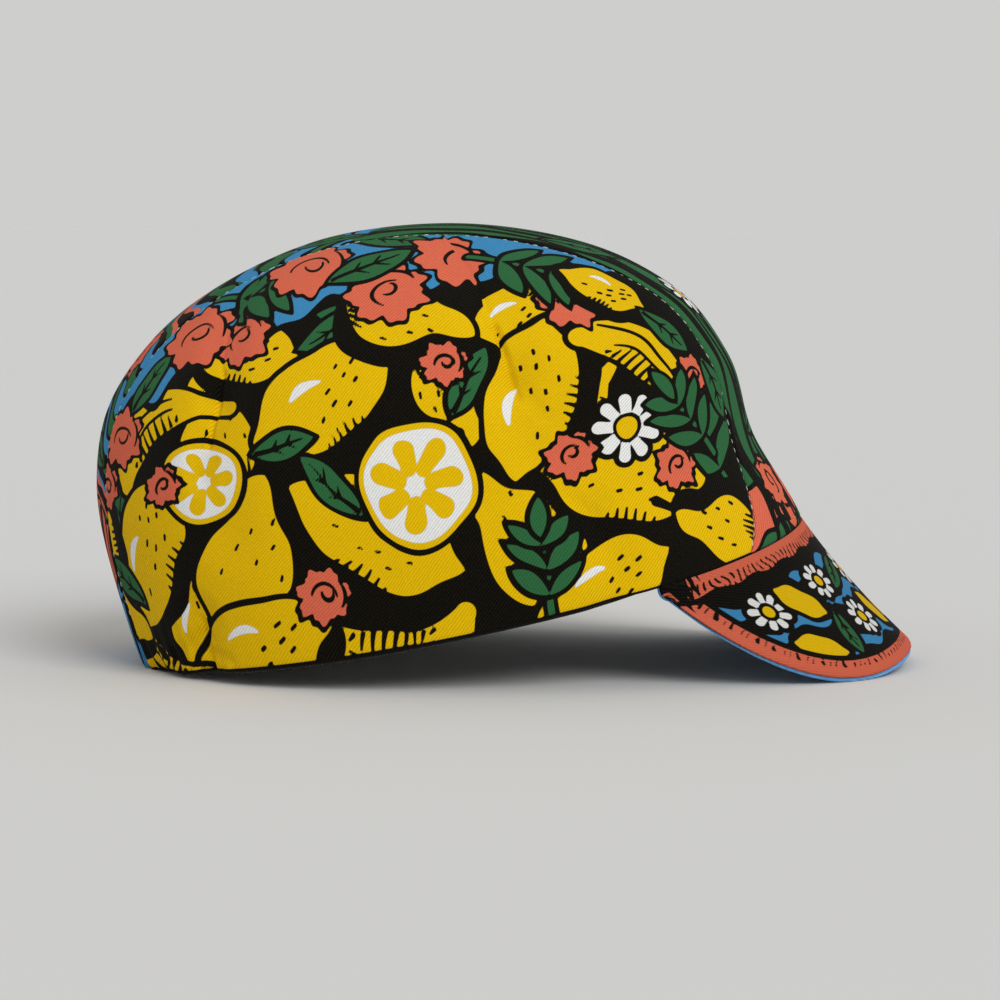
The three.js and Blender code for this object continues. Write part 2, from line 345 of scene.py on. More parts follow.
def panel_shares(direction):
    """Fore and up of directions on a side panel: polar, with the distance from the middle of its
    hem as a share of the distance of the seam."""
    along = np.degrees(np.arctan2(np.maximum(direction[..., 2], 0), -direction[..., 1]))
    from_pole = np.degrees(np.arccos(np.clip(np.abs(direction[..., 0]), 0, 1)))
    share = from_pole / (90 - seam_angle(along))
    return share * np.cos(np.radians(along)), share * np.sin(np.radians(along)), share


def line_distance(x, y, x0, y0, x1, y1):
    """Distance from points to the straight line between two points, and the share of the line, 0 to
    1, at which it is nearest."""
    dx, dy = x1 - x0, y1 - y0
    t = np.clip(((x - x0) * dx + (y - y0) * dy) / (dx * dx + dy * dy), 0, 1)
    return np.hypot(x - x0 - t * dx, y - y0 - t * dy), t


def smooth_rise(x, low, high):
    """0 below low, 1 above high and a smooth curve between them."""
    t = np.clip((x - low) / (high - low), 0, 1)
    return t * t * (3 - 2 * t)


def fold_depth(direction, fine=True):
    """Millimetres that the folds press the cloth in: for each row, its depth in walls times a
    smooth hump over its width."""
    fore, up, share = panel_shares(direction)
    depth = np.zeros_like(fore)
    rows = {**side_folds, **(small_creases if fine else {})}
    for x0, y0, x1, y1, width, walls in rows.values():
        distance, _ = line_distance(fore, up, x0, y0, x1, y1)
        depth += walls * panel_cloth * smooth_rise(1 - distance / width, 0, 1)
    if fine:  # at the seam the centre panel holds the cloth flush
        depth *= np.clip((1 - share) / seam_hold, 0, 1)
    return np.where(share > 1, 0, depth)


def gather_height(direction, fine=True):
    """Height of the gathers: a wave of a few millimetres' pitch round the nape, fading to both
    sides and upwards. Finely, small uneven pleats of the elastic ride on it at the hem."""
    turn = np.degrees(np.arctan2(direction[..., 0], direction[..., 1]))
    level = np.degrees(np.arcsin(np.clip(direction[..., 2], 0, 1)))
    fade = np.exp(-((turn / gather_turn) ** 4) - (level / gather_level) ** 2)
    height = gather_depth * panel_cloth * fade * np.cos(np.radians(2 * gather_count * turn))
    if fine:
        angle = np.radians(turn)
        pleats = np.cos(pleat_count * angle + 2.2 * np.sin(7 * angle) + 1.1 * np.sin(17 * angle))
        fade = np.exp(-((turn / pleat_turn) ** 6) - (level / pleat_level) ** 2)
        height = height + pleat_height * fade * pleats
    return height


def cloth_ripple(direction):
    """A faint unevenness of worn cloth, a few tenths of a millimetre: three slow waves across one
    another."""
    x, y, z = direction[..., 0], direction[..., 1], direction[..., 2]
    wave = np.sin(19 * x + 7 * z + 1.3) * np.sin(11 * y - 5 * z) + 0.6 * np.sin(23 * z + 9 * y + 2 * x)
    return ripple_height * wave * np.clip(z * 8, 0, 1)


print(len(side_folds), "folds and", len(small_creases), "small creases on each side panel")

# %% [markdown]
# ## The peak and how the cap lies
# The peak is sewn to the hem over the forehead. Its cloths are made of straight lines that all run
# the same way down from the hem, curved in slightly between hem and rim. The cap lies on the back
# of its hem and on the rim of the peak. Its tilt is the angle at which both press on one table, and
# cloth that would be below the table is flattened on it.

# %% The peak's lines and the resting tilt
peak_length = 49.5
peak_hollow = 1.2
peak_half_width = 64.3
peak_gap = 0.5
peak_slope = math.radians(58.9)
peak_cloth = 1.2
peak_corner = 3.0
peak_edge_show = 0.9
hem_press = 1.1
rim_press = 0.4
band_cloth = 1.5
band_height = 26.0
band_gap = 0.8
band_show = 1.0

peak_turn = math.degrees(math.asin(peak_half_width / half_width))
peak_way = np.array([0.0, -math.cos(peak_slope), -math.sin(peak_slope)])


def hem_direction(turn):
    """Directions on the hem by degrees of turn from the forehead."""
    return np.stack([np.sin(np.radians(turn)), -np.cos(np.radians(turn)), 0 * turn], -1)


def peak_reach(share):
    """Length of the peak by share of its half width: full in the middle, round at the corners."""
    round_off = np.maximum(1 - np.abs(share) ** 6, 0) ** 0.75
    return np.maximum(peak_corner, peak_length * round_off)


def peak_point(share, down, depth, extra):
    """Points of the peak: down the line from the hem by a share of its length, and inwards by a
    depth from the outer face plus the hollow's half sine."""
    turn = share * peak_turn
    along_hem = crown_point(hem_direction(turn + 0.5)) - crown_point(hem_direction(turn - 0.5))
    normal = unit(np.cross(along_hem, peak_way))
    normal *= np.where(normal[..., 1:2] > 0, -1, 1)
    sewn = crown_point(hem_direction(turn)) - np.array([0, 0, peak_gap])
    length = (down * (peak_reach(share) + extra))[..., None]
    inwards = (depth + peak_hollow * np.sin(down * np.pi))[..., None]
    return sewn + length * peak_way - inwards * normal


def cloth_pair(direction, height, wall):
    """Outer and inner face of a cloth that stands off the smooth crown by a height; the hem is cut
    level."""
    normal = crown_normal(direction)
    outer = crown_point(direction) + height[..., None] * normal
    inner = outer - wall * normal
    inner[..., 2] = np.where(direction[..., 2] < 1e-9, outer[..., 2], inner[..., 2])
    return outer, inner


def band_pair(turn, up, fine=True):
    """Outer and inner face of the sweatband: inside the panels by a gap, and showing below them
    except where the peak is sewn in."""
    direction = hem_direction(turn)
    direction[..., 2] = np.tan(np.arcsin(up * band_height / crown_rise))
    direction = unit(direction)
    height = gather_height(direction, fine) - fold_depth(direction, fine) - panel_cloth - band_gap
    pair = cloth_pair(direction, height, band_cloth)
    clear_of_peak = smooth_rise(np.abs(turn), peak_turn + 1, peak_turn + 8)
    for face in pair:
        face[..., 2] -= band_show * clear_of_peak * (1 - up)
    return pair


def tipped(points, tip):
    """Points after the cap is tipped back about X by an angle in radians."""
    y, z = points[..., 1], points[..., 2]
    c, s = math.cos(tip), math.sin(tip)
    return np.stack([points[..., 0], y * c + z * s, z * c - y * s], -1)


def rows_across_peak(columns, rows):
    """A grid over the peak: shares of its half width, closer together at its ends, and shares of
    the way down to the rim."""
    share = np.sin(np.linspace(-np.pi / 2, np.pi / 2, columns + 1))
    return np.meshgrid(share, np.linspace(0, 1, rows + 1))


# Coarse grids of the hem and of the peak's underside are enough to find the tilt.
band_turn, band_up = np.meshgrid(np.linspace(-180, 180, 85), np.linspace(0, 1, 4))
hem_points = np.concatenate([face.reshape(-1, 3) for face in band_pair(band_turn, band_up, fine=False)])
rim_share, rim_down = rows_across_peak(30, 6)
under_depth = peak_cloth + seam_gap
rim_depths = (under_depth, under_depth + peak_cloth)
rim_faces = [peak_point(rim_share, rim_down, depth, peak_edge_show) for depth in rim_depths]
rim_points = np.concatenate([face.reshape(-1, 3) for face in rim_faces])
low_tip, high_tip = 0.0, math.radians(40)
halvings = 40
for _ in range(halvings):
    tip = (low_tip + high_tip) / 2
    hem_low, rim_low = tipped(hem_points, tip)[:, 2].min(), tipped(rim_points, tip)[:, 2].min()
    if hem_low + hem_press > rim_low + rim_press:
        low_tip = tip
    else:
        high_tip = tip
table_height = tipped(hem_points, tip)[:, 2].min() + hem_press

middle_line = crown_point(direction_at(np.linspace(0, 180, 43), np.zeros(43)))
table_shift = cad_high[1] / MM - tipped(middle_line, tip)[:, 1].max()


def lay_down(points):
    """The cap's own points, tipped, flattened on the table and moved over the frame's origin."""
    laid = tipped(points, tip)
    laid[..., 2] = np.maximum(laid[..., 2], table_height) - table_height
    laid[..., 1] += table_shift
    return laid


print("tilt on the table", round(math.degrees(tip), 2), "degrees")
laid_top = lay_down(middle_line)[:, 2].max()
print("top at", round(laid_top, 2), "mm, and packed at", round(cad_high[2] / MM, 2))


# %% [markdown]
# ## Turning a sheet into a mesh
# A cloth is a grid of points on its outer face and a coarser grid on its inner face, which is
# hardly seen. The two are joined round the edge by triangles, so the cloth is one closed shell.
# The outer grid is fine, half to three quarters of a millimetre, because the print is kept on its
# points.

# %% A closed cloth from two grids
inner_step = 4  # outer columns and rows to one of the inner face


def grid_quads(columns, rows, start):
    """Corner numbers of a grid's quads, counter-clockwise with columns across and rows up."""
    i, j = np.meshgrid(np.arange(columns), np.arange(rows))
    a = start + j * (columns + 1) + i
    return np.stack([a, a + 1, a + columns + 2, a + columns + 1], -1).reshape(-1, 4)


def grid_border(columns, rows, start):
    """Numbers of a grid's border points, once round counter-clockwise."""
    bottom = np.arange(columns)
    right = np.arange(rows) * (columns + 1) + columns
    top = rows * (columns + 1) + np.arange(columns, 0, -1)
    left = np.arange(rows, 0, -1) * (columns + 1)
    return start + np.concatenate([bottom, right, top, left])


def join_borders(fine, coarse):
    """Triangles between the outer face's border and the inner one's: each half step of the fine
    border leans on its nearer coarse point, and one triangle fills the middle."""
    k = np.arange(len(fine))
    near = ((k % inner_step) >= inner_step // 2).astype(int)
    lean = coarse[(k // inner_step + near) % len(coarse)]
    edge = np.stack([np.roll(fine, -1), fine, lean], -1)
    middle = fine[np.arange(len(coarse)) * inner_step + inner_step // 2]
    fill = np.stack([middle, coarse, np.roll(coarse, -1)], -1)
    return np.concatenate([edge, fill])


def piece(name, points, quads, triangles=()):
    """A mesh object from the cap's own points, laid down on the table. Its quads are shaded smooth."""
    mesh = bpy.data.meshes.new(name)
    mesh.from_pydata((lay_down(points) * MM).tolist(), [], [*quads.tolist(), *triangles])
    mesh.polygons.foreach_set("use_smooth", np.arange(len(mesh.polygons)) < len(quads))
    print(name, "has", 2 * len(quads) + len(triangles), "triangles")
    return put_in_scene(name, mesh)


def cloth_mesh(name, outer, inner, flipped):
    """One closed cloth from an outer grid and the coarser rows and columns of an inner one. flipped
    is for a grid whose columns and rows run clockwise, seen from outside."""
    rows, columns = outer.shape[0] - 1, outer.shape[1] - 1
    coarse = inner[::inner_step, ::inner_step]
    count = outer.shape[0] * outer.shape[1]
    outside, inside = (columns, rows, 0), (columns // inner_step, rows // inner_step, count)
    quads = np.concatenate([grid_quads(*outside), grid_quads(*inside)[:, ::-1]])
    strip = join_borders(grid_border(*outside), grid_border(*inside))
    if flipped:
        quads, strip = quads[:, ::-1], strip[:, ::-1]
    points = np.concatenate([outer.reshape(-1, 3), coarse.reshape(-1, 3)])
    return piece(name, points, quads, strip.tolist())


def corner_points(mesh):
    """The number of the point at each corner of each face."""
    corner = np.zeros(len(mesh.loops), np.int32)
    mesh.loops.foreach_get("vertex_index", corner)
    return corner


def on_all_points(grid, step=inner_step):
    """A grid's values on the outer points, then on the inner points behind them."""
    return np.concatenate([grid.ravel(), grid[::step, ::step].ravel()]).astype(np.float32)


def keep_flat_map(mesh, x, y, step=inner_step):
    """Stores where each point lies on the flat cloth, in millimetres, as a UV map."""
    flat = np.stack([on_all_points(x, step), on_all_points(y, step)], -1)
    layer = mesh.uv_layers.new(name="flat_mm")
    layer.data.foreach_set("uv", flat[corner_points(mesh)].ravel())


print("one inner row or column to", inner_step, "outer ones")


# %% [markdown]
# ## Printing ink on cloth
# The cloth is printed before it is cut, so its pattern is drawn on the flat panel. Each ink is a
# field of signed distances, in millimetres, kept on the panel's points: above zero there is ink,
# below zero there is none. Shapes are laid one over another as a printer's separations are: each
# takes a black line round it away from all inks and then fills itself. Where no ink is left the
# cloth is black. A distance stays smooth between points, so the edges are far crisper than the grid.

# %% Laying ink
inks = ("yellow", "white", "coral", "green", "blue")
far = 9.0  # mm, the distance kept where no edge has been drawn yet


def blank_print(shape, ground):
    """Fields of one ground ink everywhere, or black."""
    return {ink: np.full(shape, far if ink == ground else -far) for ink in inks}


def lay_ink(fields, ink, distance, line=0.0, where=...):
    """Prints one shape from its signed distance, with a black line of that width round it. The
    other inks stop at the line, and the shape's own ink is added inside."""
    for name in inks:
        fields[name][where] = np.minimum(fields[name][where], distance - line)
    if ink != "black":
        fields[ink][where] = np.maximum(fields[ink][where], -distance)


def circle(x, y, cx, cy, radius):
    """Signed distance of a circle: distance from its middle less its radius."""
    return np.hypot(x - cx, y - cy) - radius


def bar(x, y, x0, y0, x1, y1, start, end):
    """A straight stroke whose half width goes from start to end."""
    distance, t = line_distance(x, y, x0, y0, x1, y1)
    return distance - (start + (end - start) * t)


def lens(x, y, length, width):
    """A pointed leaf: where two circles overlap. length and width are halves."""
    radius = (length**2 + width**2) / (2 * width)
    offset = radius - width
    return np.maximum(np.hypot(x, y - offset), np.hypot(x, y + offset)) - radius


def bow(x, y, radius, half_angle, middle, end):
    """A curved stroke on a circle about (0, 0), open downwards: its half width goes from middle to
    end."""
    angle = np.arctan2(x, y)
    held = np.clip(angle, -half_angle, half_angle)
    wide = middle + (end - middle) * np.abs(held / half_angle) ** 2
    return np.hypot(x - radius * np.sin(held), y - radius * np.cos(held)) - wide


def petals(x, y, count, start, end, width):
    """Round-ended petals about (0, 0): the plane is folded onto one of them, which is a bar."""
    sector = 2 * np.pi / count
    angle = np.mod(np.arctan2(y, x) + sector / 2, sector) - sector / 2
    distance = np.hypot(x, y)
    px, py = distance * np.cos(angle), distance * np.sin(angle)
    return bar(px, py, start, 0, end, 0, width * 0.75, width)


def blend_union(a, b, softness):
    """Two shapes grown together with a soft neck: a mix of both that dips where they are equal."""
    h = np.clip(0.5 + 0.5 * (b - a) / softness, 0, 1)
    return b + (a - b) * h - softness * h * (1 - h)


def turned(x, y, angle):
    """Places as seen from axes turned by an angle in radians."""
    return x * math.cos(angle) + y * math.sin(angle), y * math.cos(angle) - x * math.sin(angle)


print("inks:", ", ".join(inks), "on black")

# %% [markdown]
# ## Motifs
# Fruit, flowers and leaves are drawn once each, lying along the first axis, from a half size s. Most
# of a motif's measures are shares of s, but its black lines keep one width, as a brush's do. Each
# motif is a list of layers: an ink, the shape's signed distance and the width of its outline.

# %% Strokes and shade
outline = 1.7  # mm, the print's black line
thin = 0.6  # half the width of its finest strokes
shade_inset = 0.5


def shaded(body, x, y, dx, dy):
    """Where a shape lies outside its own copy moved by dx, dy: the crescent that a draughtsman
    blackens as shade."""
    return np.maximum(body(x, y) - shade_inset, -body(x - dx, y - dy))


def strokes(x, y, rows):
    """Several tapered strokes at once: rows of two ends and two half widths."""
    return np.minimum.reduce([bar(x, y, *row) for row in rows])


def tick_row(x, y, x0, x1, base, rise, count):
    """A row of short tapered strokes on a line, the middle ones longest."""
    rows = []
    for share in ((k + 0.5) / count for k in range(count)):
        foot = x0 + (x1 - x0) * share
        tip_height = base + rise * math.sin(math.pi * share)
        rows.append((foot, base, foot + rise * 0.2, tip_height, thin * 1.2, thin * 0.6))
    return strokes(x, y, rows)


def specks(x, y, s, spots, dx, dy, end):
    """Short marks of one length at spots given as shares of s."""
    return strokes(x, y, [(s * a, s * b, s * a + dx, s * b + dy, 0.5, end) for a, b in spots])


print("outline", outline, "mm")

# %% Fruit
lemon_pores = (
    (0.05, 0.1), (0.42, 0.02), (0.22, -0.16), (-0.15, -0.12), (0.5, 0.22),
    (0.3, 0.3), (-0.5, -0.08), (0.06, -0.06), (0.32, 0.14),
)
pear_specks = (
    (-0.2, -0.1), (0.02, -0.22), (-0.08, 0.08), (0.16, -0.04),
    (0.1, 0.2), (-0.3, -0.32), (0.26, -0.3),
)
smallest_detailed = 12  # mm, the half size below which a lemon has no pores, shine or ticks


def lemon(x, y, s):
    """A round body with a nub at each end, shade and a row of ticks below, a shine above and a
    few pores."""

    def body(u, v):
        shape = bar(u, v, -s * 0.28, 0, s * 0.28, 0, s * 0.6, s * 0.6)
        for nub in (s * 0.93, -s * 0.93):
            shape = blend_union(shape, circle(u, v, nub, 0, s * 0.1), s * 0.34)
        return shape

    layers = [("yellow", body(x, y), outline), ("black", shaded(body, x, y, -s * 0.06, s * 0.2), 0)]
    if s > smallest_detailed:
        layers.append(("white", bow(x + s * 0.16, y + s * 0.12, s * 0.46, 0.5, s * 0.055, s * 0.02), 0))
        layers.append(("black", specks(x, y, s, lemon_pores, 1.2, 0.5, 0.5), 0))
        layers.append(("black", tick_row(x, y, -s * 0.46, s * 0.4, -s * 0.47, s * 0.2, 8), 0))
    return layers


def banana(x, y, s):
    """A bow with a blunt stalk, two ridge lines and ticks of shade."""

    def body(u, v):
        fruit = bow(u, v + s * 0.62, s * 0.85, 0.92, s * 0.26, s * 0.1)
        return np.minimum(fruit, bar(u, v, s * 0.66, -s * 0.08, s * 0.86, -s * 0.34, s * 0.11, s * 0.08))

    ridge = bow(x + s * 0.05, y + s * 0.6, s * 0.94, 0.62, thin * 1.3, thin * 0.7)
    ridge = np.minimum(ridge, bow(x - s * 0.04, y + s * 0.62, s * 0.8, 0.5, thin, thin * 0.6))
    ticks = tick_row(x, y, -s * 0.42, s * 0.42, -s * 0.03, s * 0.2, 9)
    return [("yellow", body(x, y), outline), ("black", ridge, 0), ("black", ticks, 0)]


def pear(x, y, s):
    """Two circles grown together with a stalk, shade down one side, ticks below and specks."""

    def body(u, v):
        belly, neck = circle(u, v, 0, -s * 0.34, s * 0.56), circle(u, v, s * 0.04, s * 0.42, s * 0.26)
        return blend_union(belly, neck, s * 0.34)

    return [
        ("black", bar(x, y, s * 0.04, s * 0.62, s * 0.16, s * 0.98, 1.0, 1.7), 0),
        ("yellow", body(x, y), outline),
        ("black", shaded(body, x, y, -s * 0.2, s * 0.08), 0),
        ("black", tick_row(x, y, -s * 0.36, s * 0.34, -s * 0.76, s * 0.24, 8), 0),
        ("black", specks(x, y, s, pear_specks, 0.3, 1.3, 0.4), 0),
    ]


def cut_lemon(x, y, s):
    """A slice: yellow peel, white pith and seven yellow segments."""
    wedge = petals(x, y, 7, s * 0.3, s * 0.6, s * 0.18)
    pith = circle(x, y, 0, 0, s - outline)
    return [("yellow", circle(x, y, 0, 0, s), outline), ("white", pith, 0), ("yellow", wedge, 0)]


print("a lemon has", len(lemon_pores), "pores and a pear", len(pear_specks), "specks")


# %% Flowers and leaves
leaf_lean = 0.85  # radians that a sprig's leaves stand off its stem


def daisy(x, y, s):
    """Nine white petals round a yellow middle."""
    ring = petals(x, y, 9, s * 0.42, s * 0.82, s * 0.185)
    return [("white", ring, outline), ("yellow", circle(x, y, 0, 0, s * 0.3), outline * 0.7)]


def blossom(x, y, s):
    """A coral flower head with a frilled edge and curled strokes in it."""
    angle, reach = np.arctan2(y, x), np.hypot(x, y)
    frill = reach - s * (0.84 + 0.1 * np.sin(7 * angle) + 0.05 * np.sin(16 * angle + 1))
    curls = bow(x, y + s * 0.1, s * 0.42, 1.5, thin, thin * 0.5)
    curls = np.minimum(curls, bow(-y, x - s * 0.1, s * 0.62, 0.7, thin, thin * 0.5))
    curls = np.minimum(curls, bow(-x + s * 0.1, -y, s * 0.2, 1.7, thin, thin * 0.6))
    return [("coral", frill * 0.85, outline * 0.8), ("black", curls, 0)]


def leaf(x, y, s):
    """A green lens with a midrib and four veins."""
    rib = bar(x, y, -s * 0.85, 0, s * 0.7, 0, thin * 1.3, thin * 0.5)
    for k in (-0.35, 0.15):
        rib = np.minimum(rib, bar(x, np.abs(y), k * s, 0, (k + 0.25) * s, s * 0.2, thin * 0.9, thin * 0.4))
    return [("green", lens(x, y, s, s * 0.36), outline * 0.85), ("black", rib, 0)]


def sprig(x, y, s):
    """A stem with three pairs of narrow leaves and one at its end."""
    layers = [("green", bar(x, y, -s, 0, s * 0.55, 0, 0.9, 0.7), 1.2)]
    for foot, length in ((-0.55, 0.42), (-0.1, 0.46), (0.32, 0.38)):
        u, v = turned(x - foot * s, np.abs(y), leaf_lean)
        layers.append(("green", lens(u - length * s, v, length * s, s * 0.13), 1.5))
    layers.append(("green", lens(x - s * 0.85, y, s * 0.36, s * 0.14), 1.5))
    return layers


motifs = {m.__name__: m for m in (lemon, banana, pear, cut_lemon, daisy, blossom, leaf, sprig)}
print("motifs:", ", ".join(motifs))

# %% Laying motifs
motif_reach = 1.35  # half sizes from its middle that a motif can reach
motif_rim = 4  # mm more, for its outline
slow_waver, quick_waver = 0.35, 0.25  # mm


def print_motifs(fields, x, y, rows):
    """Lays a table of motifs over the print: kind, place, turn in degrees and half size. Each is
    worked out only on the points near it."""
    for kind, cx, cy, turn, size in rows:
        near = np.hypot(x - cx, y - cy) < size * motif_reach + motif_rim
        if near.any():
            u, v = turned(x[near] - cx, y[near] - cy, math.radians(turn))
            for ink, distance, line in motifs[kind](u, v, size):
                lay_ink(fields, ink, distance, line, near)


def hand_drawn(x, y):
    """Flat places shifted by up to 0.6 mm in two waves each way, so that lines waver like a brush's."""
    dx = slow_waver * np.sin(y / 3.1 + 0.7 * np.sin(x / 5.3)) + quick_waver * np.sin(x / 2.3 + y / 4.7)
    dy = slow_waver * np.sin(x / 3.4 + 0.8 * np.sin(y / 4.9)) + quick_waver * np.sin(y / 2.6 - x / 5.1)
    return x + dx, y + dy


straight = np.linspace(-90, 90, 181)
strays = np.abs(hand_drawn(straight, 0 * straight)[1]).max()
print("a level line strays by up to", round(float(strays), 2), "mm")

# %% [markdown]
# ## The side panels
# Each side panel is a half disc of cloth, straight at the hem and round at the seam. It is laid flat
# by measuring along the cloth from the middle of its hem. Where a dart folds a wedge of cloth away,
# the print on either side of the wedge meets with a jump, as it does on the real cap.

# %% A side panel laid flat
dart_wedge = math.radians(9)
table_along = np.linspace(0, 180, 181)
table_share = np.linspace(0, 1, 129)


def side_direction(along, share, side):
    """Directions on a side panel: along is the angle of the spoke from the middle of the hem, share
    the part of the way to the seam, and side -1 for the wearer's right."""
    from_pole = share * (90 - seam_angle(along) - seam_clearance(along))
    return direction_at(along, side * (90 - from_pole))


def walked(points):
    """Length walked along each line of points, from nothing at its first point."""
    steps = np.linalg.norm(np.diff(points, axis=-2), axis=-1)
    return np.concatenate([0 * steps[..., :1], np.cumsum(steps, axis=-1)], -1)


spoke_along, spoke_share = np.meshgrid(table_along, table_share, indexing="ij")
spoke_length = walked(crown_point(side_direction(spoke_along, spoke_share, -1)))


def table_lookup(table, row, column):
    """Value between the rows and columns of a table, mixed in a straight line both ways."""
    row = np.clip(row, 0, table.shape[0] - 1.000001)
    column = np.clip(column, 0, table.shape[1] - 1.000001)
    i, j = row.astype(int), column.astype(int)
    a, b = row - i, column - j
    lower = table[i, j] * (1 - b) + table[i, j + 1] * b
    upper = table[i + 1, j] * (1 - b) + table[i + 1, j + 1] * b
    return lower * (1 - a) + upper * a


def flat_radius(along, share):
    """Length of cloth from the middle of the hem, along a spoke."""
    return table_lookup(spoke_length, along, share * (len(table_share) - 1))


def flat_place(fore, up):
    """Flat place, in millimetres, of points given by the panel's shares."""
    along, share = np.degrees(np.arctan2(up, fore)), np.hypot(fore, up)
    radius = flat_radius(along, share)
    return radius * np.cos(np.radians(along)), radius * np.sin(np.radians(along))


def skip_wedge(x, y, tip_x, tip_y, end_x, end_y):
    """Turns the flat place about a dart's tip so that a wedge of the print is hidden in the dart:
    the full turn about the tip, measured from the dart, shows all but the wedge."""
    dart = math.atan2(end_y - tip_y, end_x - tip_x)
    angle = np.mod(np.arctan2(y - tip_y, x - tip_x) - dart, 2 * np.pi)
    reach = np.hypot(x - tip_x, y - tip_y)
    shown = dart + dart_wedge / 2 + angle * (1 - dart_wedge / (2 * np.pi))
    return tip_x + reach * np.cos(shown), tip_y + reach * np.sin(shown)


def printed_place(x, y):
    """Place in the print of a place on the panel: both darts' wedges are skipped."""
    for name in ("front dart", "rear dart"):
        end_fore, end_up, tip_fore, tip_up = side_folds[name][:4]
        x, y = skip_wedge(x, y, *flat_place(tip_fore, tip_up), *flat_place(end_fore, end_up))
    return x, y


print("side panel, hem to seam:", spoke_length[[0, 90, 180], -1].round(1), "mm to front, top and back")

# %% Its print: lemons, pears and bananas under a blue band
# kind, fore mm, up mm, turn, half size mm
side_print = (
    ("lemon", -62, 12, 75, 17),
    ("banana", 64, 46, 96, 22),
    ("leaf", 0, 92, 160, 14),
    ("leaf", -92, 40, 80, 13),
    ("sprig", 98, 34, 105, 22),
    ("pear", -49, 69, 12, 27),
    ("banana", -72, 66, 36, 30),
    ("lemon", -78, 30, 62, 26),
    ("lemon", -38, 88, -24, 19),
    ("leaf", -8, 90, 200, 13),
    ("pear", -42, 30, -12, 31),
    ("lemon", -14, 68, 24, 25),
    ("lemon", -8, 28, -35, 27),
    ("lemon", 46, 86, 20, 19),
    ("pear", 14, 88, -110, 24),
    ("pear", 20, 62, 200, 20),
    ("pear", 34, 26, 34, 30),
    ("lemon", 46, 60, 68, 25),
    ("banana", 76, 62, -48, 31),
    ("lemon", 68, 27, -20, 26),
    ("banana", -6, 2, 178, 30),
    ("lemon", -44, 0, 8, 22),
    ("lemon", 54, 0, 10, 21),
    ("pear", 92, 8, 66, 22),
    ("banana", -82, 2, 150, 27),
    ("lemon", -106, 34, 96, 20),
    ("pear", -102, 8, -100, 21),
    ("leaf", -96, 22, 140, 12),
    ("cut_lemon", 8, 42, 0, 17),
    ("cut_lemon", -57, 50, 0, 13),
    ("daisy", 70, 44, 10, 11),
    ("blossom", 98, 56, 0, 8),
    ("blossom", -25, 14, 0, 8),
    ("blossom", 52, 40, 40, 8),
    ("blossom", -100, 54, 10, 9),
    ("blossom", -70, 50, 40, 7),
    ("sprig", 38, 12, 84, 15),
    ("leaf", -18, 45, 130, 12),
    ("leaf", 26, 68, 60, 11),
    ("leaf", -30, 58, 10, 10),
    ("blossom", 20, 74, 0, 7),
    ("blossom", 84, 28, 30, 8),
    ("sprig", 92, 42, 120, 17),
)
band_print = (
    ("blossom", -88, 70, 5, 12),
    ("leaf", -74, 88, 50, 12),
    ("blossom", -38, 96, 40, 11),
    ("blossom", 8, 100, 60, 12),
    ("blossom", 62, 90, 10, 12),
    ("blossom", -56, 102, 20, 14),
    ("sprig", -34, 114, -12, 19),
    ("blossom", -14, 118, 0, 15),
    ("leaf", 4, 112, 20, 13),
    ("leaf", 12, 126, -30, 13),
    ("blossom", 30, 114, 30, 15),
    ("sprig", 54, 104, -34, 18),
    ("lemon", 74, 92, -40, 15),
    ("leaf", 92, 74, -50, 12),
    ("leaf", 108, 50, -80, 12),
)


band_middle, band_width = -12, 32  # mm, where the blue band is widest, and how wide
hem_line = 0.8


def side_fields(x, y, to_seam, to_hem):
    """Ink fields of a side panel, from the place in the print and the distances to the seam and to
    the hem, whose fold shows a thin black line. The blue band is widest near the top and narrows
    with the square of the way to either side, with a wavy edge."""
    x, y = hand_drawn(x, y)
    fields = blank_print(x.shape, "black")
    print_motifs(fields, x, y, side_print)
    from_widest = x - band_middle
    narrowing = np.where(from_widest < 0, 0.0046, 0.0034)
    width = band_width - narrowing * from_widest**2 + 2.6 * np.sin(x / 6.2) + 1.7 * np.sin(x / 2.9 + 1.0)
    lay_ink(fields, "blue", to_seam - width, outline * 1.3)
    print_motifs(fields, x, y, band_print)
    lay_ink(fields, "black", to_hem - hem_line, 0)
    return fields


print(len(side_print) + len(band_print), "motifs on each side panel")

# %% [markdown]
# ## Cotton twill
# The cloth is a light cotton twill: yarns cross over two and under one, each row one step on, which
# leaves fine slanted ribs. The real ribs are about 0.6 mm apart. They are drawn 0.8 mm apart so
# that a picture with 0.3 mm to a pixel can still show them. Besides their relief, the ribs carry
# painted shade in their grooves and a painted highlight on their crests.

# %% Ribs and ink colours
ink_colours = {
    "yellow": "#eec100",
    "white": "#f0f0ee",
    "coral": "#e26c50",
    "green": "#2e693e",
    "blue": "#3f8dc0",
}
# Each pair's second colour is lighter and lies on the crests of the ribs as a painted highlight.
black_with_crest_highlight = ("#060401", "#1b160a")  # in the grooves and on the crests of the ribs
white_with_crest_highlight = ("#d6d4ce", "#dedcd6")
ink_softness = 0.1  # mm over which an ink's edge bleeds
rib_pitch = 0.8
rib_height = 0.1
rib_slant = math.radians(42)
cross_pitch = 0.5
cross_turn = math.radians(75)
worn_colour = "#c6c8be"


def rib_wave(tree, place, pitch, slant):
    """A sine of the flat place, with one crest for each pitch across a slanted line."""
    push = 2 * math.pi / pitch
    rise = (-math.sin(slant) * push, math.cos(slant) * push, 0.0)
    across = add(tree, "VectorMath", operation="DOT_PRODUCT", In_0=place, In_1=rise).outputs["Value"]
    return add(tree, "Math", operation="SINE", In_0=across).outputs[0]


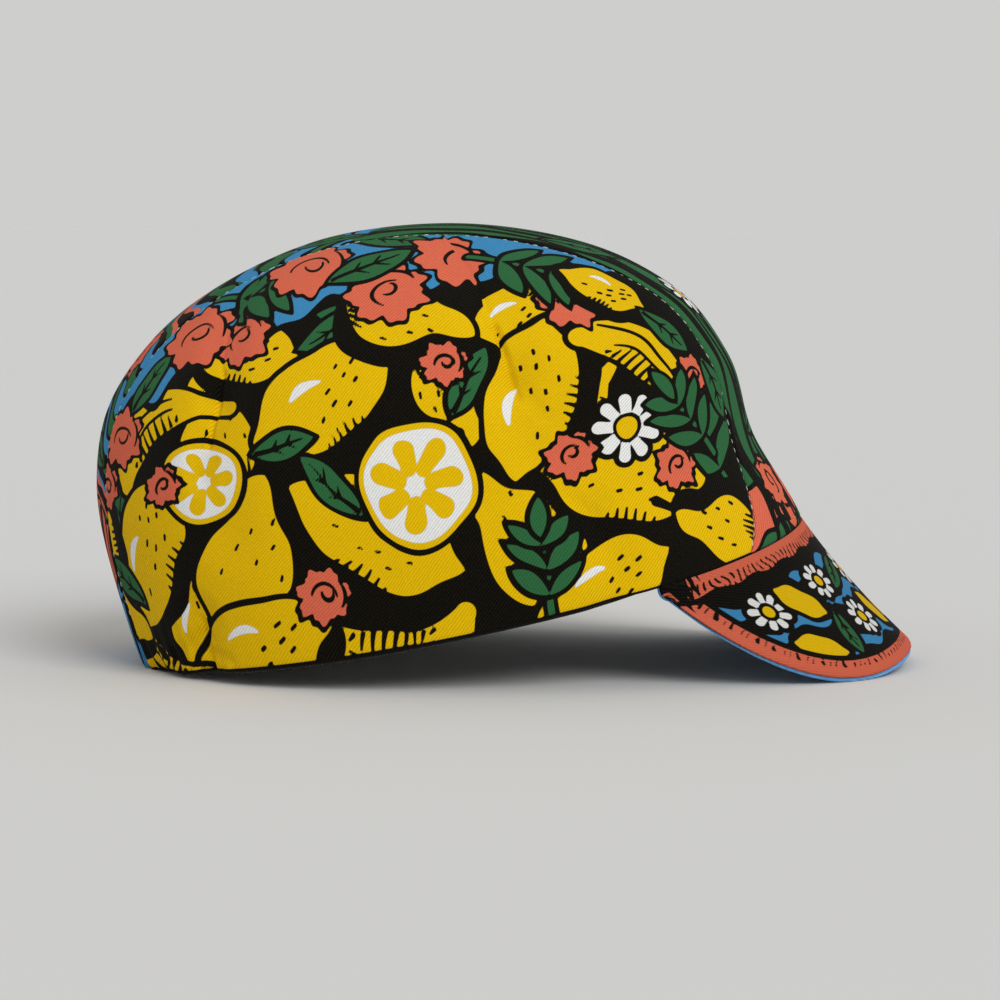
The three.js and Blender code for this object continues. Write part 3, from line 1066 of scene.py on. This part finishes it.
def ink_layers(tree, colour):
    """Lays the inks over a colour, each where its field on the cloth's points is above zero."""
    for ink in inks:
        field = add(tree, "Attribute", attribute_name=ink).outputs["Fac"]
        edge = add(tree, "MapRange", Value=field, From_Min=-ink_softness, From_Max=ink_softness)
        covers, hue = edge.outputs["Result"], linear(ink_colours[ink])
        colour = add(tree, "Mix", data_type="RGBA", Factor=covers, In_6=colour, In_7=hue).outputs[2]
    return colour


def worn_edge(tree, colour, grain):
    """Bares pale fibres in specks where the cloth's points are marked as worn."""
    worn = add(tree, "Attribute", attribute_name="worn").outputs["Fac"]
    speck = add(tree, "Math", operation="MULTIPLY", In_0=worn, In_1=grain).outputs[0]
    shows = add(tree, "MapRange", Value=speck, From_Min=0.38, From_Max=0.5, To_Max=0.75).outputs["Result"]
    bared = add(tree, "Mix", data_type="RGBA", Factor=shows, In_6=colour, In_7=linear(worn_colour))
    return bared.outputs[2]


print("inks bleed over", 2 * ink_softness, "mm")


# %% Printed cotton twill
def twill(name, ground, printed=True, relief=1.0, level=1.0):
    """A twill material. ground is the colour between and on the ribs, of bare cloth or of the black
    ink under the other inks, lighter on the crests as a painted highlight. relief is how far the ribs
    stand out, in bump and in painted shade, and level darkens the whole as painted shade."""
    material, tree, shader = new_material(
        name, Roughness=0.86, Specular_IOR_Level=0.09, Sheen_Weight=0.01, Sheen_Roughness=0.5
    )
    place = add(tree, "UVMap", uv_map="flat_mm").outputs["UV"]
    ribs = rib_wave(tree, place, rib_pitch, rib_slant)
    cross = rib_wave(tree, place, cross_pitch, rib_slant - cross_turn)
    weave = add(tree, "Math", operation="MULTIPLY_ADD", In_0=cross, In_1=0.15, In_2=ribs).outputs[0]
    grain = add(tree, "TexNoise", Vector=place, Scale=2.2, Detail=2.0).outputs["Fac"]
    cloud = add(tree, "TexNoise", Vector=place, Scale=0.9, Detail=3.0, Roughness=0.6).outputs["Fac"]

    # The crests of the ribs show the ground's second, lighter colour as a painted highlight, more so
    # where the fibres are coarse.
    crest = add(tree, "MapRange", Value=weave, From_Min=-0.7, From_Max=1.15).outputs["Result"]
    fibre = add(tree, "MapRange", Value=grain, From_Min=0.36, From_Max=0.68, To_Max=1.6).outputs["Result"]
    raised_highlight = add(tree, "Math", operation="MULTIPLY", In_0=crest, In_1=fibre).outputs[0]
    groove_colour, crest_highlight_colour = map(linear, ground)
    mix = add(tree, "Mix", data_type="RGBA", Factor=raised_highlight, In_6=groove_colour, In_7=crest_highlight_colour)
    colour = ink_layers(tree, mix.outputs[2]) if printed else mix.outputs[2]

    # Grooves are darker than crests as painted shade, and the dye is uneven in slow clouds; level
    # lowers the clouds' range as painted shade.
    low, high = 1 - 0.18 * relief, 1 + 0.07 * relief
    shade = add(tree, "MapRange", Value=weave, From_Min=-1.2, From_Max=1.2, To_Min=low, To_Max=high)
    low, high = 0.95 * level, 1.03 * level
    patch = add(tree, "MapRange", Value=cloud, From_Min=0.3, From_Max=0.7, To_Min=low, To_Max=high)
    shade, patch = shade.outputs["Result"], patch.outputs["Result"]
    both = add(tree, "Math", operation="MULTIPLY", In_0=shade, In_1=patch).outputs[0]
    colour = add(tree, "VectorMath", operation="SCALE", In_0=colour, Scale=both).outputs["Vector"]
    tree.links.new(worn_edge(tree, colour, grain) if printed else colour, shader.inputs["Base Color"])
    lift = add(tree, "Bump", Strength=1.0, Distance=rib_height * relief * MM, Height=weave)
    tree.links.new(lift.outputs["Normal"], shader.inputs["Normal"])
    return material


printed_twill = twill("printed_cotton_twill", black_with_crest_highlight)
plain_twill = twill("bare_cotton_twill", white_with_crest_highlight, printed=False)
print("twill ribs", rib_pitch, "mm apart and", rib_height, "mm high")

# %% Dressing a cloth
wear_middle, wear_width = 0.6, 0.5  # mm


def wear(distance):
    """How worn the turned edge of a cloth is, 0 to 1: most at its rounded shoulder, a little way
    from the edge, and none at the edge itself or a millimetre and more in."""
    return np.clip(1 - np.abs(distance - wear_middle) / wear_width, 0, 1)


def dress(cloth, fields, worn, flat, node, material, back):
    """Keeps a cloth's inks, wear and flat map on its points, gives it the materials of its face and
    its back, hangs it on the root and hides the solid it stands for."""
    mesh = cloth.data
    for name, values in {**fields, "worn": worn}.items():
        layer = mesh.attributes.new(name, "FLOAT", "POINT")
        layer.data.foreach_set("value", on_all_points(values))
    keep_flat_map(mesh, *flat)
    mesh.materials.append(material)
    mesh.materials.append(back)
    start = np.zeros(len(mesh.polygons), np.int32)
    mesh.polygons.foreach_get("loop_start", start)
    lowest = np.minimum.reduceat(corner_points(mesh), start)
    mesh.polygons.foreach_set("material_index", (lowest >= worn.size).astype(np.int32))
    mesh.update()
    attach(cloth, "root")
    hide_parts(node)


# %% The two side panels
side_columns, side_rows = 400, 200
edge_roll = 0.5  # mm that a cloth's turned edge curls in
edge_width = 1.6


def edge_curl(*distances):
    """Height lost where cloth curls in along its edges, from the distances to them: the square of
    how far into the curl's width a point is."""
    nearest = np.minimum.reduce(distances)
    return edge_roll * np.clip(1 - nearest / edge_width, 0, 1) ** 2


def side_height(direction, *edge_distances):
    """How far a side panel stands off the smooth crown: gathers and ripples, less the folds and the
    curl of its edges."""
    height = gather_height(direction) - fold_depth(direction) + cloth_ripple(direction)
    return height - edge_curl(*edge_distances)


def side_cloth(name, side, node):
    """A side panel: a square grid drawn onto a half disc, so the hem, the seam and both corners are
    its edges."""
    across, v = np.meshgrid(np.linspace(-1, 1, side_columns + 1), np.linspace(0, 1, side_rows + 1))
    fore, up = across * np.sqrt(1 - v * v / 2), v * np.sqrt(1 - across * across / 2)
    along, share = np.degrees(np.arctan2(up, fore)), np.hypot(fore, up)
    direction = side_direction(along, share, side)
    x, y = flat_place(fore, up)
    to_seam = flat_radius(along, np.ones_like(share)) - flat_radius(along, share)
    outer, inner = cloth_pair(direction, side_height(direction, to_seam, y), panel_cloth)
    printed_x, printed_y = printed_place(x, y)
    fields = side_fields(-side * printed_x, printed_y, to_seam, y)
    cloth = cloth_mesh(name, outer, inner, flipped=side > 0)
    dress(cloth, fields, wear(to_seam), (-side * x, y), node, printed_twill, plain_twill)


side_cloth("right_side_cloth", -1, "side_panel_right")
side_cloth("left_side_cloth", 1, "side_panel_left")

# %% [markdown]
# ## The centre panel
# One long strip runs from the forehead over the top to the nape, between the two seams. It is laid
# flat by the length along its middle and the width across it. Its print is tall green blades with
# black lines between them over the front half, wavy cross bands of green and blue over the rear
# half, and frills at both ends. Hardly any of it is seen from the side.

# %% The centre panel laid flat
middle_along = np.linspace(0, 180, 361)
middle_length = walked(crown_point(direction_at(middle_along, 0 * middle_along)))
strip_length = middle_length[-1]
print("centre strip", round(strip_length, 1), "mm long")


# %% Its print: blades, cross bands, frills and flowers
def blade_lines(s, t):
    """Black lines between green blades: distance to the nearest of a row of lines that sway as
    they run along the strip and come and go."""
    field = np.full(s.shape, far)
    for k, base in enumerate(np.linspace(-34, 34, 17)):
        sway = 2.6 * np.sin(s / (17 + 1.3 * (k % 5)) + 1.7 * k) + 1.1 * np.sin(s / 7.3 + 2.9 * k)
        wide = 1.15 + 0.9 * np.sin(s / (23 + 2 * (k % 3)) + 2.3 * k)
        field = np.minimum(field, np.abs(t - base - sway) - wide)
    return field


# ink, middle, half width and waver of each frill, mm
frills = (
    ("coral", 12, 8, 4.3),
    ("blue", strip_length - 10, 11, 5.1),
    ("coral", strip_length - 38, 12, 4.7),
)
centre_print = (
    ("blossom", 16, -20, 0, 9),
    ("blossom", 24, 14, 30, 10),
    ("leaf", 36, -6, 70, 11),
    ("leaf", 62, 16, 20, 12),
    ("daisy", 78, -10, 0, 8),
    ("leaf", 112, -18, 160, 12),
    ("blossom", 126, 12, 10, 8),
    ("leaf", 158, 16, 10, 13),
    ("leaf", 186, -16, 20, 12),
    ("daisy", 206, 4, 0, 8),
    ("blossom", 232, 18, 20, 9),
    ("blossom", 252, -14, 0, 10),
    ("leaf", 284, -16, 100, 11),
    ("leaf", 292, 12, 80, 11),
)


def every(place, pitch, half):
    """Bands that repeat with a pitch: distance to the nearest one, of a half width."""
    return np.abs(np.mod(place, pitch) - pitch / 2) - half


def fronds(fields, s, t):
    """Wavy fronds across the rear half of the strip: bands of green, blue and now and then coral,
    with black between them, that bend back towards the seams."""
    lean = 0.4 * np.sqrt(t * t + 60)
    place = (s - lean + 3.4 * np.sin(t / 6.1 + s / 17) + 1.5 * np.sin(t / 2.9 - s / 11)) * 0.8
    ahead = np.maximum(0.5 * strip_length - s + 6 * np.sin(t / 5), 0)
    lay_ink(fields, "green", ahead - 0.5, 0)
    lay_ink(fields, "blue", every(place + 2.2 * np.sin(t / 7.7), 13.0, 2.8) + ahead, 0)
    lay_ink(fields, "coral", every(place + 3.2, 52.0, 3.2) + ahead, 0)
    lay_ink(fields, "black", every(place, 6.5, 1.2 + 0.8 * np.sin(t / 4.4 + s / 9)) + ahead, 0)


def centre_fields(s, t):
    """Ink fields of the strip: green blades, with fronds of green and blue towards the nape, frills
    at both ends and flowers laid over."""
    s, t = hand_drawn(s, t)
    fields = blank_print(s.shape, "green")
    lines = blade_lines(s, t)
    lay_ink(fields, "black", lines, 0)
    fronds(fields, s, t)
    for ink, middle, half, waver in frills:
        away = np.abs(s - middle) - half
        edge = 2.6 * np.sin(t / waver + middle) + 1.3 * np.sin(t / 1.9)
        lay_ink(fields, ink, away - edge, outline)
        lay_ink(fields, "black", np.maximum(lines, away - 1), 0)
    print_motifs(fields, s, t, centre_print)
    return fields


print(len(centre_print), "motifs and", len(frills), "frills on the strip")

# %% The centre panel's cloth
centre_columns, centre_rows = 512, 112

across_v = np.linspace(-1, 1, centre_rows + 1)
along_u, across_v = np.meshgrid(np.linspace(0, 180, centre_columns + 1), across_v)
direction = direction_at(along_u, across_v * (seam_angle(along_u) - seam_clearance(along_u)))
s = np.interp(along_u, middle_along, middle_length)
t = across_v * centre_half(along_u)
to_seam = centre_half(along_u) * (1 - np.abs(across_v))
to_hem = np.minimum(s, strip_length - s)
height = gather_height(direction) + cloth_ripple(direction) - edge_curl(to_seam, to_hem)
outer, inner = cloth_pair(direction, height, panel_cloth)
dress(
    cloth_mesh("centre_cloth", outer, inner, flipped=True),
    centre_fields(s, t),
    0.6 * wear(to_seam),
    (s, t),
    "centre_panel",
    printed_twill,
    plain_twill,
)

# %% [markdown]
# ## The sweatband
# A band of soft black tape is sewn inside the hem and holds the elastic. About a millimetre of it
# shows under the hem. Knitted tape has fine upright ribs, which come from its loops of yarn.

# %% Knitted sweatband tape
# The first colour lies in the knit's hollows as painted shade, the second on its raised loops as a painted
# highlight.
tape_dark_and_highlight = ("#0b0b0a", "#191816")
tape_rib = 0.9  # mm
tape_relief = 0.15


def knitted_tape():
    """Upright ribs across the band and rows of loops, as two sine waves in relief and in colour:
    the raised knit takes a painted highlight and its hollows painted shade.
    """
    material, tree, shader = new_material(
        "knitted_cotton_tape", Roughness=0.9, Specular_IOR_Level=0.25, Sheen_Weight=0.15
    )
    place = add(tree, "UVMap", uv_map="flat_mm").outputs["UV"]
    ribs = rib_wave(tree, place, tape_rib, math.radians(90))
    loops = rib_wave(tree, place, tape_rib * 0.8, 0.0)
    knit = add(tree, "Math", operation="MULTIPLY_ADD", In_0=loops, In_1=0.4, In_2=ribs).outputs[0]
    raised_highlight = add(tree, "MapRange", Value=knit, From_Min=-1.4, From_Max=1.4).outputs["Result"]
    low, high = map(linear, tape_dark_and_highlight)
    colour = add(tree, "Mix", data_type="RGBA", Factor=raised_highlight, In_6=low, In_7=high)
    tree.links.new(colour.outputs[2], shader.inputs["Base Color"])
    lift = add(tree, "Bump", Strength=1.0, Distance=tape_relief * MM, Height=knit)
    tree.links.new(lift.outputs["Normal"], shader.inputs["Normal"])
    return material


# %% The sweatband's ring
band_columns, band_rows = 720, 28


def ring_mesh(name, outer, inner):
    """A closed ring from two grids whose last column meets the first: both faces, and a strip along
    each rim."""
    rows, columns = outer.shape[0] - 1, outer.shape[1]
    i, j = np.meshgrid(np.arange(columns), np.arange(rows))
    a = j * columns + i
    b = j * columns + (i + 1) % columns
    face = np.stack([a, b, b + columns, a + columns], -1).reshape(-1, 4)
    count = columns * (rows + 1)
    low, high = np.arange(columns), rows * columns + np.arange(columns)
    low_next, high_next = np.roll(low, -1), np.roll(high, -1)
    under = np.stack([low + count, low_next + count, low_next, low], -1)
    over = np.stack([high, high_next, high_next + count, high + count], -1)
    quads = np.concatenate([face, face[:, ::-1] + count, under, over])
    return piece(name, np.concatenate([outer.reshape(-1, 3), inner.reshape(-1, 3)]), quads)


turn, up = np.meshgrid(np.linspace(-180, 180, band_columns + 1)[:-1], np.linspace(0, 1, band_rows + 1))
outer, inner = band_pair(turn, up)
tape = ring_mesh("sweatband_tape", outer, inner)
hem_walk = np.linalg.norm(outer[0] - np.roll(outer[0], 1, axis=0), axis=-1).cumsum()
keep_flat_map(tape.data, np.broadcast_to(hem_walk, turn.shape), up * band_height, step=1)
tape.data.materials.append(knitted_tape())
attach(tape, "root")
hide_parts("sweatband")

# %% [markdown]
# ## The peak
# The peak is a thin stiffener between two cloths, bound at its rim. Its flat form is a crescent: the
# curve of the hem on one side and the rounded rim on the other. Distances to the seam and to the
# rim place its border and its rows of petals.

# %% The peak laid flat
peak_columns, peak_rows = 256, 96
peak_close = 0.47  # mm that the cloths rise at the seam, to meet the hem they are sewn to
end_close = 0.4  # mm more at both ends, where the hem's tuck draws it in


def nearest(x, y, line_x, line_y):
    """Distance from each point to the nearest of a line's points."""
    gap = np.hypot(x.reshape(-1, 1) - line_x, y.reshape(-1, 1) - line_y)
    return gap.min(axis=1).reshape(x.shape)


def peak_flat(share, down, extra):
    """Flat place on the peak: its lines stay straight and parallel, and the cloth between them is
    unrolled. Returns x, y and the distances to the seam and to the rim."""
    fine = np.sin(np.linspace(-np.pi / 2, np.pi / 2, 801))
    sewn = crown_point(hem_direction(fine * peak_turn))
    lengthways = sewn @ peak_way
    walk = walked(sewn - lengthways[:, None] * peak_way)
    walk -= walk[-1] / 2
    x = np.interp(share, fine, walk)
    y = np.interp(share, fine, lengthways) + down * (peak_reach(share) + extra)
    to_seam = nearest(x, y, walk, lengthways)
    to_rim = nearest(x, y, walk, lengthways + peak_reach(fine) + extra)
    return x, y, to_seam, to_rim


share_u, down_v = rows_across_peak(peak_columns, peak_rows)
print("peak grid", peak_columns, "by", peak_rows)


# %% The peak's print
def ticks(x, y, spacing, distance, low, high):
    """Short strokes across a border: a fine comb along x between two distances, of uneven height."""
    comb = np.abs(np.mod(x + 0.6 * np.sin(y), spacing) - spacing / 2) - 0.42
    tall = high + 0.5 * (high - low) * np.sin(x * 1.9) * np.sin(x * 0.73)
    return np.maximum(comb, np.maximum(low - distance, distance - tall))


near_row = (("daisy", 6.4), ("lemon", 8.6), ("daisy", 6.0), ("leaf", 8.6))
far_row = (("lemon", 8.4), ("leaf", 8.4), ("daisy", 6.4), ("lemon", 7.6))
peak_print = [
    (near_row[k % 4][0], 13.4 * (k - 4.5), 16.5 + 1.2 * math.sin(2 * k), 50 * k, near_row[k % 4][1])
    for k in range(10)
] + [
    (far_row[k % 4][0], 13.4 * (k - 4), 32 + 1.5 * math.sin(3 * k), 35 + 70 * k, far_row[k % 4][1])
    for k in range(9)
]


def peak_fields(x, y, to_seam, to_rim):
    """Ink fields of the peak: a black field with blue waves, two rows of small fruit and flowers,
    and a coral border with black ticks round it."""
    x, y = hand_drawn(x, y)
    fields = blank_print(x.shape, "black")
    for middle, half in ((12.5, 1.6), (23.5, 2.2), (37.5, 2.6)):
        waves = np.abs(to_seam - middle - 1.7 * np.sin(x / 2.9 + middle)) - half - 0.7 * np.sin(x / 4.3)
        lay_ink(fields, "blue", waves, 0)
    print_motifs(fields, x, to_seam, peak_print)
    lay_ink(fields, "coral", to_rim - 5.2, outline)
    lay_ink(fields, "coral", to_seam - 5.0 - 0.5 * np.sin(x / 2.1), outline)
    lay_ink(fields, "black", ticks(x, y, 2.2, to_seam, 2.0, 5.4), 0)
    narrow_end = to_rim + to_seam - 9 - 2.4 * np.sin(x * 2.6)
    lay_ink(fields, "black", np.maximum(narrow_end, 1.4 - to_rim), 0)
    round_rim = 75 * np.arctan2(x, y - y.min())
    lay_ink(fields, "black", ticks(round_rim, y, 2.7, to_rim, 2.9, 4.9), 0)
    return fields


def under_fields(x, y, to_seam, to_rim):
    """Ink fields of the underside: light blue with a few leaves of white, black and green."""
    x, y = hand_drawn(x, y)
    fields = blank_print(x.shape, "blue")
    for k, px in enumerate(np.linspace(-66, 66, 12)):
        for row in (0, 1):
            lean = 0.9 * math.sin(1.7 * k + 2 * row)
            u, v = turned(x - px - 5 * row, to_rim - 13 - 17 * row, lean)
            lay_ink(fields, ("white", "green", "black")[(k + row) % 3], lens(v, u, 6.5, 2.1), 0.9)
    return fields


print(len(peak_print), "motifs on the peak")

# %% The peak's two cloths
underside_blue = "#6faee8"
pressed_relief = 0.45
close_at = (0.86, 0.97)  # shares of the peak's half width between which the end's tuck sets in


def peak_piece(name, depth, extra, node, draw, material):
    """One cloth of the peak, at a depth from its upper face, curled in at the rim. The upper one
    shows its near face and the underside its far one."""
    x, y, to_seam, to_rim = peak_flat(share_u, down_v, extra)
    faces = [peak_point(share_u, down_v, inwards, extra) for inwards in (depth, depth + peak_cloth)]
    rise = peak_close + end_close * smooth_rise(np.abs(share_u), *close_at)
    for face in faces:
        face[..., 2] += rise * np.clip(1 - down_v * 8, 0, 1)
    on_top = depth == 0
    shown, hidden = faces if on_top else faces[::-1]
    shown = shown + edge_curl(to_rim)[..., None] * unit(hidden - shown)
    cloth = cloth_mesh(name, shown, hidden, flipped=on_top)
    worn = 0.7 * wear(np.minimum(to_rim, to_seam))
    dress(cloth, draw(x, y, to_seam, to_rim), worn, (x, y), node, material, material)


# Both cloths are pressed flat, so their ribs stand out less, and the upper one is darkened as
# painted shade.
printed_peak = twill("printed_peak_twill_painted_shade", black_with_crest_highlight, relief=pressed_relief, level=0.7)
peak_piece("peak_cloth", 0.0, 0.0, "peak_top", peak_fields, printed_peak)
# The next twill takes the underside's own lighter blue.
ink_colours["blue"] = underside_blue
printed_light = twill("printed_underside_twill", black_with_crest_highlight, relief=pressed_relief)
peak_piece(
    "peak_under_cloth",
    under_depth,
    peak_edge_show,
    "peak_underside",
    under_fields,
    printed_light,
)

# %% [markdown]
# ## Seam stitches
# The panels' turned edges are held by a row of stitches of pale polyester thread that sink into the
# seam, so only a glint of each one shows. Each is a short bead with tapered ends, turned a little
# off the seam as a lockstitch lies.

# %% Thread beads along the side panels' edges
stitch_pitch = 2.9  # mm, about nine stitches to the inch
stitch_half = 0.72
stitch_radius = 0.17
stitch_sides = 6
stitch_inset = 0.55  # mm from the panel's edge
bead_places = (-1, -0.6, 0.6, 1)  # of a bead's four rings, in shares of its half length
bead_widths = (0.45, 1, 1, 0.45)  # of those rings, in shares of its radius


def bead_rings():
    """One bead about the origin, along its first axis: rings of a few sides, narrow at the ends."""
    turn = np.arange(stitch_sides) * 2 * np.pi / stitch_sides
    along = np.repeat(np.array(bead_places) * stitch_half, stitch_sides)
    wide = np.array(bead_widths) * stitch_radius
    aside, above = np.outer(wide, np.cos(turn)).ravel(), np.outer(wide, np.sin(turn)).ravel()
    return np.stack([along, aside, above], -1)


def bead_faces(count):
    """Quads of all beads: three bands between the rings of each, and two quads that close either
    hexagonal end."""
    k = np.arange(stitch_sides)
    after = (k + 1) % stitch_sides
    band = np.stack([k, after, after + stitch_sides, k + stitch_sides], -1)
    rings = len(bead_places)
    bands = np.concatenate([band + ring * stitch_sides for ring in range(rings - 1)])
    start_cap = np.array([[3, 2, 1, 0], [5, 4, 3, 0]])
    end_cap = start_cap[:, ::-1] + (rings - 1) * stitch_sides
    one = np.concatenate([bands, start_cap, end_cap])
    return (one + np.arange(count)[:, None, None] * rings * stitch_sides).reshape(-1, 4)


print("one stitch has", 2 * len(bead_faces(1)), "triangles")


# %% Beads along a seam
def seam_stitches(side, random):
    """Points of all beads of one seam: the seam's line, its normal and the direction across make
    each bead's axes, and every bead leans and sinks a little differently."""
    fine = np.linspace(1.0, 179.0, 1500)
    share = 1 - stitch_inset / flat_radius(fine, 1 + 0 * fine)
    direction = side_direction(fine, share, side)
    height = side_height(direction, stitch_inset + 0 * fine)
    line = crown_point(direction) + height[:, None] * crown_normal(direction)
    walk = walked(line)
    count = int(walk[-1] / stitch_pitch)
    place = np.interp((np.arange(count) + 0.5) * stitch_pitch + random.normal(0, 0.15, count), walk, fine)
    k = np.clip(np.searchsorted(fine, place), 2, len(fine) - 3)
    forward = unit(line[k + 2] - line[k - 2])
    upward = crown_normal(direction[k])
    across = unit(np.cross(upward, forward))
    lean = random.normal(0.22, 0.1, count)[:, None]
    ahead = forward * np.cos(lean) + across * np.sin(lean)
    across = np.cross(upward, ahead)
    middle = line[k] + upward * random.normal(-0.06, 0.08, count)[:, None]
    long = random.normal(1, 0.15, count)[:, None, None]
    bead = bead_rings()[None]
    points = middle[:, None] + long * bead[..., :1] * ahead[:, None]
    return points + bead[..., 1:2] * across[:, None] + bead[..., 2:] * upward[:, None]


random = np.random.default_rng(7)
beads = np.concatenate([seam_stitches(side, random) for side in (-1, 1)])
stitches = piece("seam_stitches", beads.reshape(-1, 3), bead_faces(len(beads)))
print(len(beads), "stitches")

# %% Spun polyester thread
thread_colours = ("#a3a196", "#d2d0c6")
twists_per_metre = 2600.0


def polyester_thread():
    """Off-white spun polyester: fibres twisted round it, seen as fine light and shade."""
    material, tree, shader = new_material("spun_polyester_thread", Roughness=0.6, Specular_IOR_Level=0.3)
    place = add(tree, "TexCoord").outputs["Object"]
    twist = add(tree, "TexNoise", Vector=place, Scale=twists_per_metre, Detail=1.0).outputs["Fac"]
    dark, light = map(linear, thread_colours)
    colour = add(tree, "Mix", data_type="RGBA", Factor=twist, In_6=dark, In_7=light)
    tree.links.new(colour.outputs[2], shader.inputs["Base Color"])
    return material


stitches.data.materials.append(polyester_thread())
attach(stitches, "root")
print("thread's shades:", *thread_colours)
